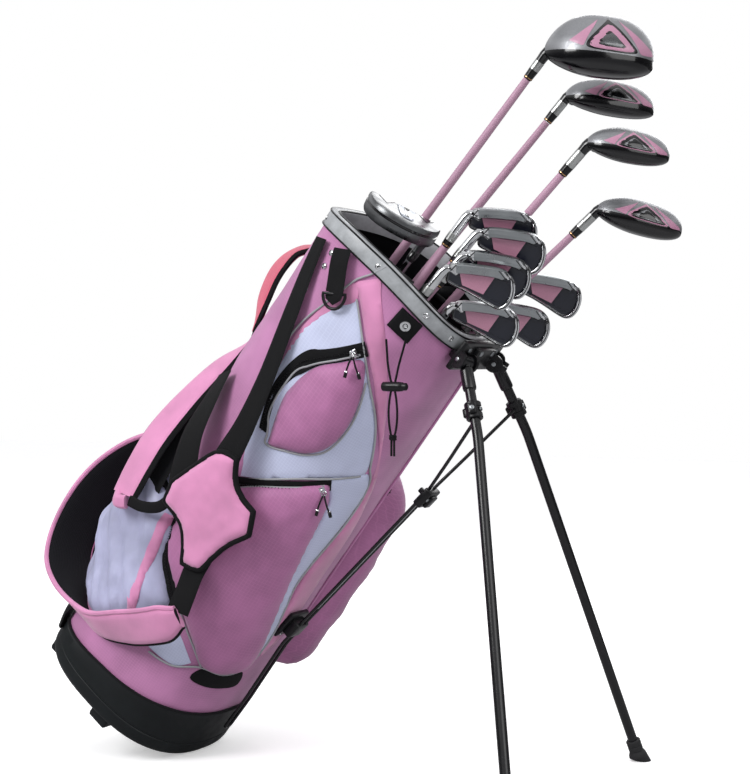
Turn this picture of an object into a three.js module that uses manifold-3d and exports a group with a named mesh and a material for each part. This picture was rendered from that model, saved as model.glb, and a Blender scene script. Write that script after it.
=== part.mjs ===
// Golf club set: a stand bag leaning on its two legs, with twelve clubs in it.
// Millimetres, +Z up. The origin is the flat on the boot's heel that rests on the floor.
// +X is the way the bag leans (its belly side), -X its spine, -Y its near side, +Y its far side.
import * as THREE from "three";
import { mergeVertices } from "three/addons/utils/BufferGeometryUtils.js";
import Module from "manifold-3d";

const wasm = await Module();
wasm.setup();

// ---------------------------------------------------------------- driving dimensions
const GAP = 0.4; // clearance kept between pieces that touch
const DEGREE = Math.PI / 180;
const TILT = 38.5 * DEGREE; // lean of the bag from upright, on its stand

const BASE = { centre: -138, halfDepth: 139, halfWidth: 137 }; // bag section at the floor of the bag
const MOUTH = { centre: -158, halfDepth: 134, halfWidth: 128, height: 775 }; // and at its mouth
const SQUARENESS = 2.5; // power of the superellipse: 2 is an ellipse
const WALL = 4; // fabric, foam and lining together
const STATIONS = 24; // facets round each half of the bag
const FLOOR = 8; // thickness of the boot's floor
const HEEL_MIDDLE = 3; // from the sole's edge to the middle of the flat under the heel
const BOOT_OUT = 3.8; // the boot stands proud of the fabric; its heel is cut flat by the floor
const BOOT_IN = -7;
const COLLAR_HEIGHT = 24;
const COLLAR_OUT = 3;
const COLLAR_IN = -9;

const PIVOT = new THREE.Vector3(-3, 50, 736); // far leg's pivot in the bag's frame; near is mirrored
const KNEE = new THREE.Vector3(84, 83, 681);
const FOOT = new THREE.Vector3(472, 239, 375);
const FOLDED = new THREE.Vector3(0.025, 0.013, -1).normalize(); // the leg's line when folded
const LEG_RADIUS = 7;
const BARREL_RADIUS = 9.5;
const CLAMP_AT = 72; // from the pivot along the leg
const ROD_RADIUS = 2.4;

const GRIP_LENGTH = 262;
const GRIP_BUTT = 12.5;
const GRIP_END = 9.5;
const SHAFT_BUTT = 7.2;
const SHAFT_TIP = 4.7;
const HOSEL_RADIUS = 6.8;
const LIE = 62 * DEGREE; // angle between a club's shaft and its sole
const TOE_TURN = 34 * DEGREE; // the toes point this far from the bag's belly toward its far side

// Each club: where its shaft ends (toe-wards, back-wards, up the bag) and where its butt stands
// on the floor (toe-wards, back-wards), on a plan grid turned by TOE_TURN.
// `head` gives a wood's length from heel to toe, its depth below and above the seam between sole
// and crown, its breadth, and how far the seam's heel is past the shaft's end.
const WOODS = {
  driver: { tip: [-144, 150, 1067], butt: [-178, 142], head: [150, 58, 25, 104, 45] },
  fairway_wood: { tip: [-76, 205, 1028], butt: [-172, 112], head: [130, 35, 15, 66, 44] },
  low_hybrid: { tip: [-51, 48, 999], butt: [-146, 58], head: [113, 29, 15, 54, 54] },
  high_hybrid: { tip: [20, 89, 932], butt: [-154, 87], head: [124, 30, 17, 54, 50] },
};
const IRONS = {
  iron_a: { tip: [-127, 35, 836], butt: [-136, 30] },
  iron_b: { tip: [-110, 12, 827], butt: [-168, 14] },
  iron_c: { tip: [-115, -12, 796], butt: [-196, -2] },
  iron_d: { tip: [-126, -31, 773], butt: [-172, -20] },
  iron_e: { tip: [-87, -13, 730], butt: [-140, -22] },
  iron_f: { tip: [-33, 60, 737], butt: [-112, 44] },
  iron_g: { tip: [-8, 108, 786], butt: [-90, 110] },
};
const PUTTER = { tip: [-150, 66, 786], butt: [-182, 66] };

// ---------------------------------------------------------------- colours
const COLOUR = {
  pink: 0xd77fb4,
  hotPink: 0xe45f72,
  white: 0xd9dff0,
  silver: 0xa9b0b2,
  black: 0x141416,
  rubber: 0x1c1d1f,
  chrome: 0xc8cacc,
  shaftPink: 0xd79bbb,
};

// ---------------------------------------------------------------- solids and meshes
const root = new THREE.Group();
const bag = new THREE.Group();
bag.rotation.y = TILT;
bag.position.x = -HEEL_MIDDLE;
root.add(bag);

function material(colour, roughness = 0.8, metalness = 0) {
  return new THREE.MeshStandardMaterial({ color: colour, roughness, metalness });
}

function addMesh(parent, name, geometry, look) {
  const mesh = new THREE.Mesh(geometry, look);
  mesh.name = name;
  parent.add(mesh);
  return mesh;
}

// A closed body from points and triangles, turned so that its faces point out.
function body(points, faces) {
  let volume = 0;
  for (const [a, b, c] of faces) {
    volume += points[a].dot(new THREE.Vector3().crossVectors(points[b], points[c]));
  }
  const index = faces.flatMap(([a, b, c]) => (volume < 0 ? [a, c, b] : [a, b, c]));
  const geometry = new THREE.BufferGeometry();
  const flat = points.flatMap((p) => p.toArray());
  geometry.setAttribute("position", new THREE.Float32BufferAttribute(flat, 3));
  geometry.setIndex(index);
  geometry.computeVertexNormals();
  return geometry;
}

function manifold(geometry) {
  const bare = geometry.clone();
  bare.deleteAttribute("normal");
  bare.deleteAttribute("uv");
  const merged = mergeVertices(bare, 1e-3);
  const mesh = new wasm.Mesh({
    numProp: 3,
    vertProperties: new Float32Array(merged.getAttribute("position").array),
    triVerts: new Uint32Array(merged.index.array),
  });
  return new wasm.Manifold(mesh);
}

function fromManifold(solid) {
  const mesh = solid.getMesh();
  const geometry = new THREE.BufferGeometry();
  geometry.setAttribute("position", new THREE.Float32BufferAttribute(mesh.vertProperties, 3));
  geometry.setIndex(Array.from(mesh.triVerts));
  geometry.computeVertexNormals();
  return geometry;
}

function join(...geometries) {
  return fromManifold(geometries.map(manifold).reduce((a, b) => a.add(b)));
}

function cut(geometry, ...tools) {
  return fromManifold(tools.map(manifold).reduce((a, b) => a.subtract(b), manifold(geometry)));
}

function overlap(a, b) {
  return fromManifold(manifold(a).intersect(manifold(b)));
}

function box(x0, x1, y0, y1, z0, z1) {
  const geometry = new THREE.BoxGeometry(x1 - x0, y1 - y0, z1 - z0);
  return geometry.translate((x0 + x1) / 2, (y0 + y1) / 2, (z0 + z1) / 2);
}

// A round bar from one point to another.
function bar(from, to, radius, sides = 12) {
  const along = to.clone().sub(from);
  const geometry = new THREE.CylinderGeometry(radius, radius, along.length(), sides);
  const turn = new THREE.Quaternion();
  turn.setFromUnitVectors(new THREE.Vector3(0, 1, 0), along.normalize());
  const middle = from.clone().add(to).multiplyScalar(0.5);
  return geometry.applyQuaternion(turn).translate(middle.x, middle.y, middle.z);
}

// A tube of the given radius along a curve.
function tube(curve, radius, steps, sides = 8) {
  const section = new THREE.Shape();
  section.absarc(0, 0, radius, 0, 2 * Math.PI);
  return new THREE.ExtrudeGeometry(section, {
    steps,
    extrudePath: curve,
    bevelEnabled: false,
    curveSegments: sides,
  });
}

// A body swept through loops of points, each loop a closed outline with the same count.
function sweep(loops, closed = false) {
  const count = loops[0].length;
  const points = loops.flat();
  const faces = [];
  const rings = closed ? loops.length : loops.length - 1;
  for (let i = 0; i < rings; i += 1) {
    const here = i * count;
    const next = ((i + 1) % loops.length) * count;
    for (let j = 0; j < count; j += 1) {
      const k = (j + 1) % count;
      faces.push([here + j, here + k, next + k], [here + j, next + k, next + j]);
    }
  }
  if (!closed) {
    for (const end of [0, loops.length - 1]) {
      const centre = new THREE.Vector3();
      loops[end].forEach((p) => centre.add(p));
      points.push(centre.multiplyScalar(1 / count));
      for (let j = 0; j < count; j += 1) {
        const a = end * count + j;
        const b = end * count + ((j + 1) % count);
        faces.push(end === 0 ? [points.length - 1, b, a] : [points.length - 1, a, b]);
      }
    }
  }
  return body(points, faces);
}

// ---------------------------------------------------------------- the bag's surface
// A point of the bag's section: angle 0 is the belly, -90 the near side, 180 the spine.
function onBag(angle, height, out = 0) {
  const k = height / MOUTH.height;
  const depth = THREE.MathUtils.lerp(BASE.halfDepth, MOUTH.halfDepth, k) + out;
  const width = THREE.MathUtils.lerp(BASE.halfWidth, MOUTH.halfWidth, k) + out;
  const centre = THREE.MathUtils.lerp(BASE.centre, MOUTH.centre, k);
  const c = Math.cos(angle * DEGREE);
  const s = Math.sin(angle * DEGREE);
  const power = 2 / SQUARENESS;
  const x = centre + depth * Math.sign(c) * Math.abs(c) ** power;
  const y = width * Math.sign(s) * Math.abs(s) ** power;
  return new THREE.Vector3(x, y, height);
}

const bootTop = (angle) => 62 + 20 * Math.cos(angle * DEGREE);
const rimTop = (angle) => 770 + 22 * Math.sin(angle * DEGREE) ** 2 - 10 * Math.cos(angle * DEGREE);
const rimBottom = (angle) => rimTop(angle) - COLLAR_HEIGHT;

// A profile of [out, height] pairs carried round the bag between two angles.
function round(profileAt, from, to, steps) {
  const closed = to - from >= 360;
  const loops = [];
  for (let i = 0; i < steps + (closed ? 0 : 1); i += 1) {
    const angle = from + ((to - from) * i) / steps;
    loops.push(profileAt(angle).map(([out, height]) => onBag(angle, height, out)));
  }
  return sweep(loops, closed);
}

// A solid plug of the bag's section between two heights.
function plug(out, low, high, steps = 40) {
  const angles = Array.from({ length: steps }, (_, i) => (360 * i) / steps);
  return sweep([low, high].map((height) => angles.map((angle) => onBag(angle, height, out))));
}

// The boot: a moulded cup, four nubs under it and a flat on its heel.
function boot() {
  const cup = round(
    (a) => [
      [BOOT_OUT, 0],
      [BOOT_OUT, bootTop(a)],
      [BOOT_IN, bootTop(a)],
      [BOOT_IN, 0],
    ],
    0,
    360,
    44,
  );
  const nubs = [-70, 70, -140, 140].map((angle) => {
    const at = onBag(angle, 0, -20);
    return bar(new THREE.Vector3(at.x, at.y, -5), new THREE.Vector3(at.x, at.y, 2), 10);
  });
  const below = box(-400, 400, -400, 400, -200, 0).rotateY(-TILT);
  return cut(join(cup, plug(BOOT_IN + 2, 0, FLOOR, 44), ...nubs), below);
}

function bagBody() {
  const wall = (from, to) =>
    round(
      (a) => [
        [0, bootTop(a) + GAP],
        [0, rimBottom(a) - GAP],
        [-WALL, rimBottom(a) - GAP],
        [-WALL, bootTop(a) + GAP],
      ],
      from,
      to,
      STATIONS,
    );
  const fabric = material(COLOUR.pink, 0.75);
  addMesh(bag, "boot", boot(), material(COLOUR.black, 0.55));
  addMesh(bag, "near_side_wall", wall(-179.8, -0.2), fabric.clone());
  addMesh(bag, "far_side_wall", wall(0.2, 179.8), fabric.clone());
  const rim = round(
    (a) => [
      [COLLAR_OUT, rimBottom(a)],
      [COLLAR_OUT, rimTop(a) - 3],
      [0, rimTop(a)],
      [COLLAR_IN + 2, rimTop(a)],
      [COLLAR_IN, rimTop(a) - 3],
      [COLLAR_IN, rimBottom(a)],
    ],
    0,
    360,
    40,
  );
  addMesh(bag, "collar", rim, material(COLOUR.silver, 0.5));

  // The divider: one padded bar across the mouth and a branch to each end.
  const bars = join(
    box(-152, -132, -200, 200, 742, 764),
    box(-140, 40, 46, 54, 743, 762),
    box(-330, -145, -8, 8, 743, 762),
  );
  const divider = overlap(bars, plug(COLLAR_IN - GAP, 700, 800));
  addMesh(bag, "mouth_divider", divider, material(COLOUR.black, 0.95));

  const stayFoot = onBag(180, FLOOR + 1, -13);
  const stayTop = onBag(180, 738, -13);
  addMesh(bag, "spine_stay", bar(stayFoot, stayTop, 4), material(COLOUR.white, 0.4));
}

// ---------------------------------------------------------------- pockets
// A stuffed pocket on one side of the bag, between two of the wall's facet lines (counted from
// the belly): flat on the wall, proud by `edge` round its sides and by `swell` more in the middle.
function pocket({ side, from, to, low, high, swell, edge = 5 }) {
  const up = 6;
  const loops = [];
  for (let i = from; i <= to; i += 1) {
    const t = (i - from) / (to - from);
    const angle = side * (0.2 + (i * 179.6) / STATIONS);
    const bottom = low(t);
    const top = high(t);
    const loop = [];
    for (let j = 0; j <= up; j += 1) {
      const v = j / up;
      const bulge = edge + swell * (Math.sin(Math.PI * t) * Math.sin(Math.PI * v)) ** 0.55;
      loop.push(onBag(angle, THREE.MathUtils.lerp(bottom, top, v), GAP + bulge));
    }
    loop.push(onBag(angle, top, GAP), onBag(angle, bottom, GAP));
    loops.push(loop);
  }
  return sweep(loops);
}

// Shares run from the belly edge of each pocket to its spine edge.
const POCKETS = {
  upper_pocket: {
    side: -1,
    from: 6,
    to: 14,
    low: (t) => 500 + 60 * (1 - t) ** 2,
    high: (t) => 672 - 60 * t,
    swell: 13,
  },
  lower_pocket: { side: -1, from: 3, to: 13, low: () => 175, high: (t) => 480 - 40 * t, swell: 15 },
  ball_pocket: { side: -1, from: 14, to: 21, low: () => 110, high: (t) => 318 - 20 * t, swell: 22 },
  far_pocket: { side: 1, from: 4, to: 16, low: () => 130, high: () => 480, swell: 64 },
};

function pockets() {
  for (const [name, shape] of Object.entries(POCKETS)) {
    const colour = name === "ball_pocket" ? COLOUR.white : COLOUR.pink;
    addMesh(bag, name, pocket(shape), material(colour, 0.75));
  }
  // Sliders of the two straight zips on the near side, each with its cord pull.
  for (const [name, at] of Object.entries(ZIP_SLIDERS)) {
    const slider = join(
      box(at.x - 5, at.x + 5, at.y - 4, at.y, at.z - 4, at.z + 4),
      box(at.x - 2, at.x + 2, at.y - 4, at.y - 1, at.z - 26, at.z),
    );
    addMesh(bag, name, slider, material(COLOUR.chrome, 0.3, 1));
  }
}

const ZIP_SLIDERS = {
  upper_zip_slider: new THREE.Vector3(-92, -161, 668),
  lower_zip_slider: new THREE.Vector3(-24, -162, 486),
};

// ---------------------------------------------------------------- straps and handle
// A padded band through points, each with the way its outer face looks.
function band(stations, halfWidth, halfThickness, steps) {
  const path = new THREE.CatmullRomCurve3(stations.map(([p]) => new THREE.Vector3(...p)));
  const faces = new THREE.CatmullRomCurve3(stations.map(([, n]) => new THREE.Vector3(...n)));
  const loops = [];
  for (let i = 0; i <= steps; i += 1) {
    const t = i / steps;
    const at = path.getPoint(t);
    const along = path.getTangent(t);
    const side = new THREE.Vector3().crossVectors(along, faces.getPoint(t)).normalize();
    const out = new THREE.Vector3().crossVectors(side, along).normalize();
    const corners = [
      [1, 0.5],
      [0.86, 1],
      [-0.86, 1],
      [-1, 0.5],
      [-1, -0.5],
      [-0.86, -1],
      [0.86, -1],
      [1, -0.5],
    ];
    loops.push(
      corners.map(([w, h]) =>
        at.clone().addScaledVector(side, w * halfWidth).addScaledVector(out, h * halfThickness),
      ),
    );
  }
  return sweep(loops);
}

const UPPER_STRAP = [
  [[-299, -38, 520], [-0.9, -0.3, 0.3]],
  [[-303, -60, 478], [-0.7, -0.6, 0.3]],
  [[-304, -86, 426], [-0.55, -0.75, 0.3]],
  [[-296, -114, 366], [-0.4, -0.86, 0.28]],
  [[-286, -138, 308], [-0.4, -0.86, 0.28]],
  [[-280, -156, 264], [-0.4, -0.86, 0.28]],
];
const LOWER_STRAP = [
  [[-318, 22, 330], [-0.95, 0.2, 0]],
  [[-362, -6, 268], [-0.9, 0.15, -0.4]],
  [[-370, -34, 190], [-0.78, 0.15, -0.6]],
  [[-350, -64, 118], [-0.5, 0.1, -0.85]],
  [[-300, -108, 70], [-0.3, -0.4, -0.85]],
  [[-232, -150, 66], [0.1, -0.85, -0.5]],
  [[-164, -172, 104], [0.4, -0.88, -0.25]],
  [[-104, -181, 172], [0.4, -0.88, -0.1]],
];
const LIFT_HANDLE = [
  [[-298, -22, 712], [-1, 0, 0.4]],
  [[-313, -22, 694], [-0.9, 0, 0.5]],
  [[-326, -22, 652], [-1, 0, 0]],
  [[-322, -22, 602], [-1, 0, -0.2]],
  [[-306, -22, 568], [-0.9, 0, -0.5]],
  [[-294, -22, 554], [-1, 0, -0.4]],
];
const TOP_WEBBING = [
  [[-256, -106, 748], [-0.5, -0.86, 0]],
  [[-224, -130, 664], [-0.3, -0.95, 0]],
  [[-192, -146, 562], [-0.2, -0.97, 0]],
  [[-172, -168, 486], [-0.1, -1, 0]],
];
const HUB_CENTRE = new THREE.Vector3(-136, -172, 372);
const HUB_THICKNESS = 9;

// The hub: a six-pointed pad with hollow sides, flat against the near side.
function hub() {
  const points = 6;
  const outline = new THREE.Shape();
  for (let i = 0; i <= points; i += 1) {
    const turn = (2 * Math.PI * i) / points;
    const x = Math.cos(turn) * 62;
    const y = Math.sin(turn) * 78;
    const middle = turn - Math.PI / points;
    if (i === 0) outline.moveTo(x, y);
    else outline.quadraticCurveTo(Math.cos(middle) * 36, Math.sin(middle) * 46, x, y);
  }
  const thick = { depth: HUB_THICKNESS, bevelEnabled: false, curveSegments: 4 };
  const pad = new THREE.ExtrudeGeometry(outline, thick).rotateX(Math.PI / 2);
  return pad.translate(HUB_CENTRE.x, HUB_CENTRE.y + HUB_THICKNESS / 2, HUB_CENTRE.z);
}

function straps() {
  const padding = material(COLOUR.pink, 0.7);
  const webbing = material(COLOUR.black, 0.9);
  addMesh(bag, "upper_shoulder_strap", band(UPPER_STRAP, 22, 7, 16), padding.clone());
  addMesh(bag, "lower_shoulder_strap", band(LOWER_STRAP, 26, 7, 24), padding.clone());
  addMesh(bag, "lift_handle", band(LIFT_HANDLE, 15, 6, 16), material(COLOUR.hotPink, 0.7));
  addMesh(bag, "top_webbing", band(TOP_WEBBING, 19, 1.6, 8), webbing.clone());
  addMesh(bag, "strap_hub", hub(), padding.clone());
}

// ---------------------------------------------------------------- small hardware
const RING_TURN = -32 * DEGREE;
const RING_PIN = new THREE.Vector3(-174, -138.5, 714); // the D-ring's straight side
const CORD_RADIUS = 1.5;
const CORD = [
  [-70, -125.5, 719],
  [-56, -127.5, 700],
  [-45, -129, 684],
  [-34, -129, 670],
  [-16, -129, 647],
  [0, -129, 627],
  [14, -129, 609],
  [22, -129, 599],
];
const TOGGLE_AT = new THREE.Vector3(-34, -129, 670);
const KNOT_AT = new THREE.Vector3(6, -129, 619.3);

function hardware() {
  const tab = band(
    [
      [[-200, -136, 758], [-0.2, -1, 0]],
      [[-188, -138.5, 737], [-0.2, -1, 0]],
      [[-176, -140.3, 717.5], [-0.2, -1, 0]],
    ],
    16,
    1.5,
    3,
  );
  addMesh(bag, "d_ring_tab", tab, material(COLOUR.black, 0.9));
  const ring = new THREE.Shape();
  ring.absarc(0, 0, 18, Math.PI, 2 * Math.PI);
  ring.closePath();
  const hole = new THREE.Path();
  hole.absarc(0, -3.2, 13, Math.PI, 2 * Math.PI);
  hole.closePath();
  ring.holes.push(hole);
  const dRing = new THREE.ExtrudeGeometry(ring, { depth: 4, bevelEnabled: false, curveSegments: 10 });
  dRing.rotateX(Math.PI / 2).rotateY(RING_TURN);
  addMesh(bag, "d_ring", dRing.translate(RING_PIN.x, RING_PIN.y, RING_PIN.z), material(COLOUR.black, 0.4));

  const patch = band(
    [
      [[-92, -136.6, 716], [0, -1, 0]],
      [[-70, -135, 730], [0.15, -1, 0]],
      [[-48, -131, 744], [0.3, -1, 0]],
    ],
    15,
    1.5,
    3,
  );
  addMesh(bag, "snap_patch", patch, material(COLOUR.black, 0.9));
  const route = new THREE.CatmullRomCurve3(CORD.map((p) => new THREE.Vector3(...p)));
  addMesh(bag, "drawcord", tube(route, CORD_RADIUS, 30), material(COLOUR.black, 0.9));
  // The toggle and the knot are threaded on the cord where it hangs straight.
  const down = KNOT_AT.clone().sub(TOGGLE_AT).normalize();
  const about = (at, half) => [-half, half].map((d) => at.clone().addScaledVector(down, d));
  const toggle = cut(bar(...about(TOGGLE_AT, 9), 7, 14), bar(...about(TOGGLE_AT, 14), 2.6, 8));
  addMesh(bag, "cord_toggle", toggle, material(COLOUR.black, 0.4));
  const knot = new THREE.SphereGeometry(5, 10, 8).translate(KNOT_AT.x, KNOT_AT.y, KNOT_AT.z);
  addMesh(bag, "cord_knot", cut(knot, bar(...about(KNOT_AT, 9), 2.6, 8)), material(COLOUR.black, 0.9));
}

// ---------------------------------------------------------------- stand
const SIDES = { near: -1, far: 1 };
const mirrored = (v, side) => new THREE.Vector3(v.x, v.y * side, v.z);
const STAND_LOOK = material(COLOUR.black, 0.45);

// The line about which a leg swings: across the leg both open and folded.
function hingeLine(side) {
  const open = KNEE.clone().sub(PIVOT);
  const line = new THREE.Vector3().crossVectors(open, FOLDED).normalize();
  return mirrored(line, side).multiplyScalar(side);
}

// A wire or tube through points, mitred at each.
function wire(points, radius, sides = 8) {
  const loops = [];
  let across = null;
  points.forEach((p, i) => {
    const before = i > 0 ? p.clone().sub(points[i - 1]).normalize() : null;
    const after = i < points.length - 1 ? points[i + 1].clone().sub(p).normalize() : null;
    const along = (before ?? after).clone().add(after ?? before).normalize();
    const straight = before ?? after;
    if (!across) across = new THREE.Vector3(0.3, 1, 0.1).cross(straight).normalize();
    across.addScaledVector(straight, -across.dot(straight)).normalize();
    const third = new THREE.Vector3().crossVectors(straight, across);
    const loop = [];
    for (let j = 0; j < sides; j += 1) {
      const turn = (2 * Math.PI * j) / sides;
      const spoke = across.clone().multiplyScalar(Math.cos(turn) * radius);
      spoke.addScaledVector(third, Math.sin(turn) * radius);
      // slide the point along the tube until it lies in the mitre plane
      spoke.addScaledVector(straight, -spoke.dot(along) / straight.dot(along));
      loop.push(p.clone().add(spoke));
    }
    loops.push(loop);
  });
  return sweep(loops);
}

function stand() {
  const proud = plug(COLLAR_OUT + GAP, 600, 900);
  const plate = box(-60, -17, -66, 66, 714, 764);
  const middle = box(-60, -3, -28, 28, 720, 758);
  const lugs = [];
  for (const side of [-1, 1]) {
    const pivot = mirrored(PIVOT, side);
    const line = hingeLine(side);
    for (const end of [-1, 1]) {
      const inner = pivot.clone().addScaledVector(line, end * 10.4);
      const outer = pivot.clone().addScaledVector(line, end * 15);
      lugs.push(bar(inner, outer, 12.5, 16));
      const back = new THREE.Vector3(-line.y, line.x, 0).multiplyScalar(12);
      lugs.push(bar(inner.clone().add(back), outer.clone().add(back), 12.5, 16));
    }
    const pinHalf = line.clone().multiplyScalar(12);
    lugs.push(bar(pivot.clone().sub(pinHalf), pivot.clone().add(pinHalf), 3, 10));
  }
  const bracket = cut(join(plate, middle, ...lugs), proud);
  addMesh(bag, "stand_bracket", bracket, STAND_LOOK.clone());

  for (const [name, side] of Object.entries(SIDES)) {
    const pivot = mirrored(PIVOT, side);
    const knee = mirrored(KNEE, side);
    const foot = mirrored(FOOT, side);
    const line = hingeLine(side);
    const upper = knee.clone().sub(pivot).normalize();
    const lower = foot.clone().sub(knee).normalize();
    const legEnd = foot.clone().addScaledVector(lower, -12);
    const barrelHalf = line.clone().multiplyScalar(10);
    const barrel = bar(pivot.clone().sub(barrelHalf), pivot.clone().add(barrelHalf), BARREL_RADIUS, 16);
    const pinHalf = line.clone().multiplyScalar(20);
    const bore = bar(pivot.clone().sub(pinHalf), pivot.clone().add(pinHalf), 3.4, 10);
    const tubing = wire([pivot.clone().addScaledVector(upper, 5), knee, legEnd], LEG_RADIUS, 12);
    addMesh(bag, `leg_${name}`, cut(join(barrel, tubing), bore), material(COLOUR.black, 0.3));

    const clampFrom = pivot.clone().addScaledVector(upper, CLAMP_AT - 11);
    const clampTo = pivot.clone().addScaledVector(upper, CLAMP_AT + 11);
    const clampBore = bar(
      clampFrom.clone().addScaledVector(upper, -5),
      clampTo.clone().addScaledVector(upper, 5),
      LEG_RADIUS + GAP,
      12,
    );
    addMesh(bag, `leg_clamp_${name}`, cut(bar(clampFrom, clampTo, 11, 12), clampBore), STAND_LOOK.clone());

    const below = box(-800, 800, -400, 400, -200, 0).rotateY(-TILT);
    const onFoot = (along) => foot.clone().addScaledVector(lower, along);
    const socket = bar(onFoot(-34), onFoot(12), 10.5, 14);
    const pad = bar(onFoot(-13), onFoot(14), 13, 14);
    const legHole = bar(onFoot(-40), onFoot(-11), LEG_RADIUS + GAP, 12);
    addMesh(bag, `foot_${name}`, cut(join(socket, pad), legHole, below), material(COLOUR.rubber, 0.9));
  }

  // One wire bent into a long U: its ends meet the two leg clamps.
  const half = [
    new THREE.Vector3(58.5, 58, 700),
    new THREE.Vector3(53, 27, 612),
    new THREE.Vector3(48.5, 7, 552),
    new THREE.Vector3(8.5, 7, 225),
    new THREE.Vector3(13, 7, 116),
    new THREE.Vector3(13, 7, 58),
  ];
  const near = half.map((p) => mirrored(p, -1));
  const rod = wire([...near, ...half.reverse()], ROD_RADIUS);
  addMesh(bag, "push_rod", rod, material(COLOUR.black, 0.3));
  const bores = [-7, 7].map((v) =>
    wire([new THREE.Vector3(52.7, v, 586), new THREE.Vector3(8.5, v, 225)], ROD_RADIUS + GAP, 12),
  );
  const clip = join(box(39, 58, -16, 2, 538, 552), box(39, 58, -2, 16, 524, 548));
  addMesh(bag, "rod_clip", cut(clip, ...bores), STAND_LOOK.clone());
  const guide = join(box(-20, 20, -16, 16, 242, 268), box(-20, 2, -24, 24, 232, 278));
  addMesh(bag, "rod_guide", cut(guide, plug(GAP, 200, 300), ...bores), STAND_LOOK.clone());
}

// ---------------------------------------------------------------- clubs
// A place in the bag's frame from the turned plan grid.
function onGrid(toe, back, height) {
  const c = Math.cos(TOE_TURN);
  const s = Math.sin(TOE_TURN);
  return new THREE.Vector3(toe * c - back * s, toe * s + back * c, height);
}

// A group at the shaft's tip: +Z runs on past the tip, +X to the toe.
function clubFrame({ tip, butt }, toeward = 1) {
  const end = onGrid(...tip);
  const start = onGrid(...butt, FLOOR + GAP);
  const z = end.clone().sub(start).normalize();
  const toe = onGrid(toeward, 0, 0);
  const y = new THREE.Vector3().crossVectors(z, toe).normalize();
  const x = new THREE.Vector3().crossVectors(y, z);
  const group = new THREE.Group();
  group.quaternion.setFromRotationMatrix(new THREE.Matrix4().makeBasis(x, y, z));
  group.position.copy(end);
  bag.add(group);
  return { group, length: end.distanceTo(start) };
}

// Grip and shaft in one turned piece, butt first.
function shaft(length, roundTip) {
  const profile = [
    [0, -length + 4],
    [GRIP_BUTT - 1.5, -length + 4],
    [GRIP_BUTT, -length + 8],
    [GRIP_END, -length + GRIP_LENGTH],
    [SHAFT_BUTT, -length + GRIP_LENGTH + 1],
    [roundTip, 0],
    [0, 0],
  ];
  const turned = new THREE.LatheGeometry(profile.map(([r, z]) => new THREE.Vector2(r, z)), 12);
  return turned.rotateX(Math.PI / 2);
}

const sole = new THREE.Vector3(Math.sin(LIE), 0, Math.cos(LIE)); // heel to toe
const crown = new THREE.Vector3(Math.cos(LIE), 0, -Math.sin(LIE)); // sole to crown or top line
const face = new THREE.Vector3(0, 1, 0);

// A place on a club head: along the sole, up from it, and toward the face.
function onHead(heel, along, up, out) {
  const at = heel.clone().addScaledVector(sole, along);
  return at.addScaledVector(crown, up).addScaledVector(face, out);
}

function hosel(length) {
  return bar(new THREE.Vector3(0, 0, GAP), new THREE.Vector3(0, 0, length), HOSEL_RADIUS, 12);
}

// Blade stations, heel to toe: along, sole height, top height.
const BLADE = [
  [-2, 3, 25],
  [8, 0, 31],
  [42, -2, 41],
  [70, -1, 52],
  [82, 6, 56],
  [88, 16, 51],
  [90, 29, 43],
];
const BLADE_HEEL = new THREE.Vector3(-1, 0, 64);

function blade() {
  const loops = BLADE.map(([along, low, high]) => {
    const middle = (low + high) / 2;
    return [
      onHead(BLADE_HEEL, along, low, 5),
      onHead(BLADE_HEEL, along, high, 3),
      onHead(BLADE_HEEL, along, high, -2.5),
      onHead(BLADE_HEEL, along, middle, -4),
      onHead(BLADE_HEEL, along, low + 8, -7),
      onHead(BLADE_HEEL, along, low, -11),
    ];
  });
  return join(sweep(loops), hosel(52));
}

// A wood's head: a domed sole over a flatter crown, narrow at the heel and blunt at the toe.
function woodHead([length, soleDepth, crownDepth, breadth, neck]) {
  const rings = 10;
  const around = 14;
  const heel = new THREE.Vector3(0, 0, neck).addScaledVector(sole, -5);
  const loops = [];
  for (let i = 1; i < rings; i += 1) {
    const t = (1 - Math.cos((Math.PI * i) / rings)) / 2;
    const dome = Math.sin(Math.PI * t ** 0.9) ** 0.8;
    const belly = Math.sin(Math.PI * t ** 1.25) ** 0.7;
    const spread = Math.sin(Math.PI * t ** 0.95) ** 0.6;
    const loop = [];
    for (let j = 0; j < around; j += 1) {
      const a = (2 * Math.PI * j) / around;
      const rise = Math.sin(a);
      const up = rise < 0 ? rise * soleDepth * dome : rise * crownDepth * belly;
      const out = Math.cos(a) * spread * breadth * (Math.cos(a) > 0 ? 0.38 : 0.62);
      loop.push(onHead(heel, length * t, up, out));
    }
    loops.push(loop);
  }
  return join(sweep(loops), hosel(neck + 8));
}

// A mallet putter's head: a deep block rounded at the rear, hung near its heel from the neck.
function putterHead() {
  const outline = new THREE.Shape();
  outline.moveTo(-20, -34);
  outline.lineTo(88, -34);
  outline.lineTo(88, -12);
  outline.quadraticCurveTo(84, 36, 34, 38);
  outline.quadraticCurveTo(-16, 36, -20, -12);
  outline.closePath();
  const deep = { depth: 26, bevelEnabled: false, curveSegments: 8 };
  const block = new THREE.ExtrudeGeometry(outline, deep);
  return join(block.rotateY(8 * DEGREE).translate(0, 0, 30), hosel(36));
}

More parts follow.
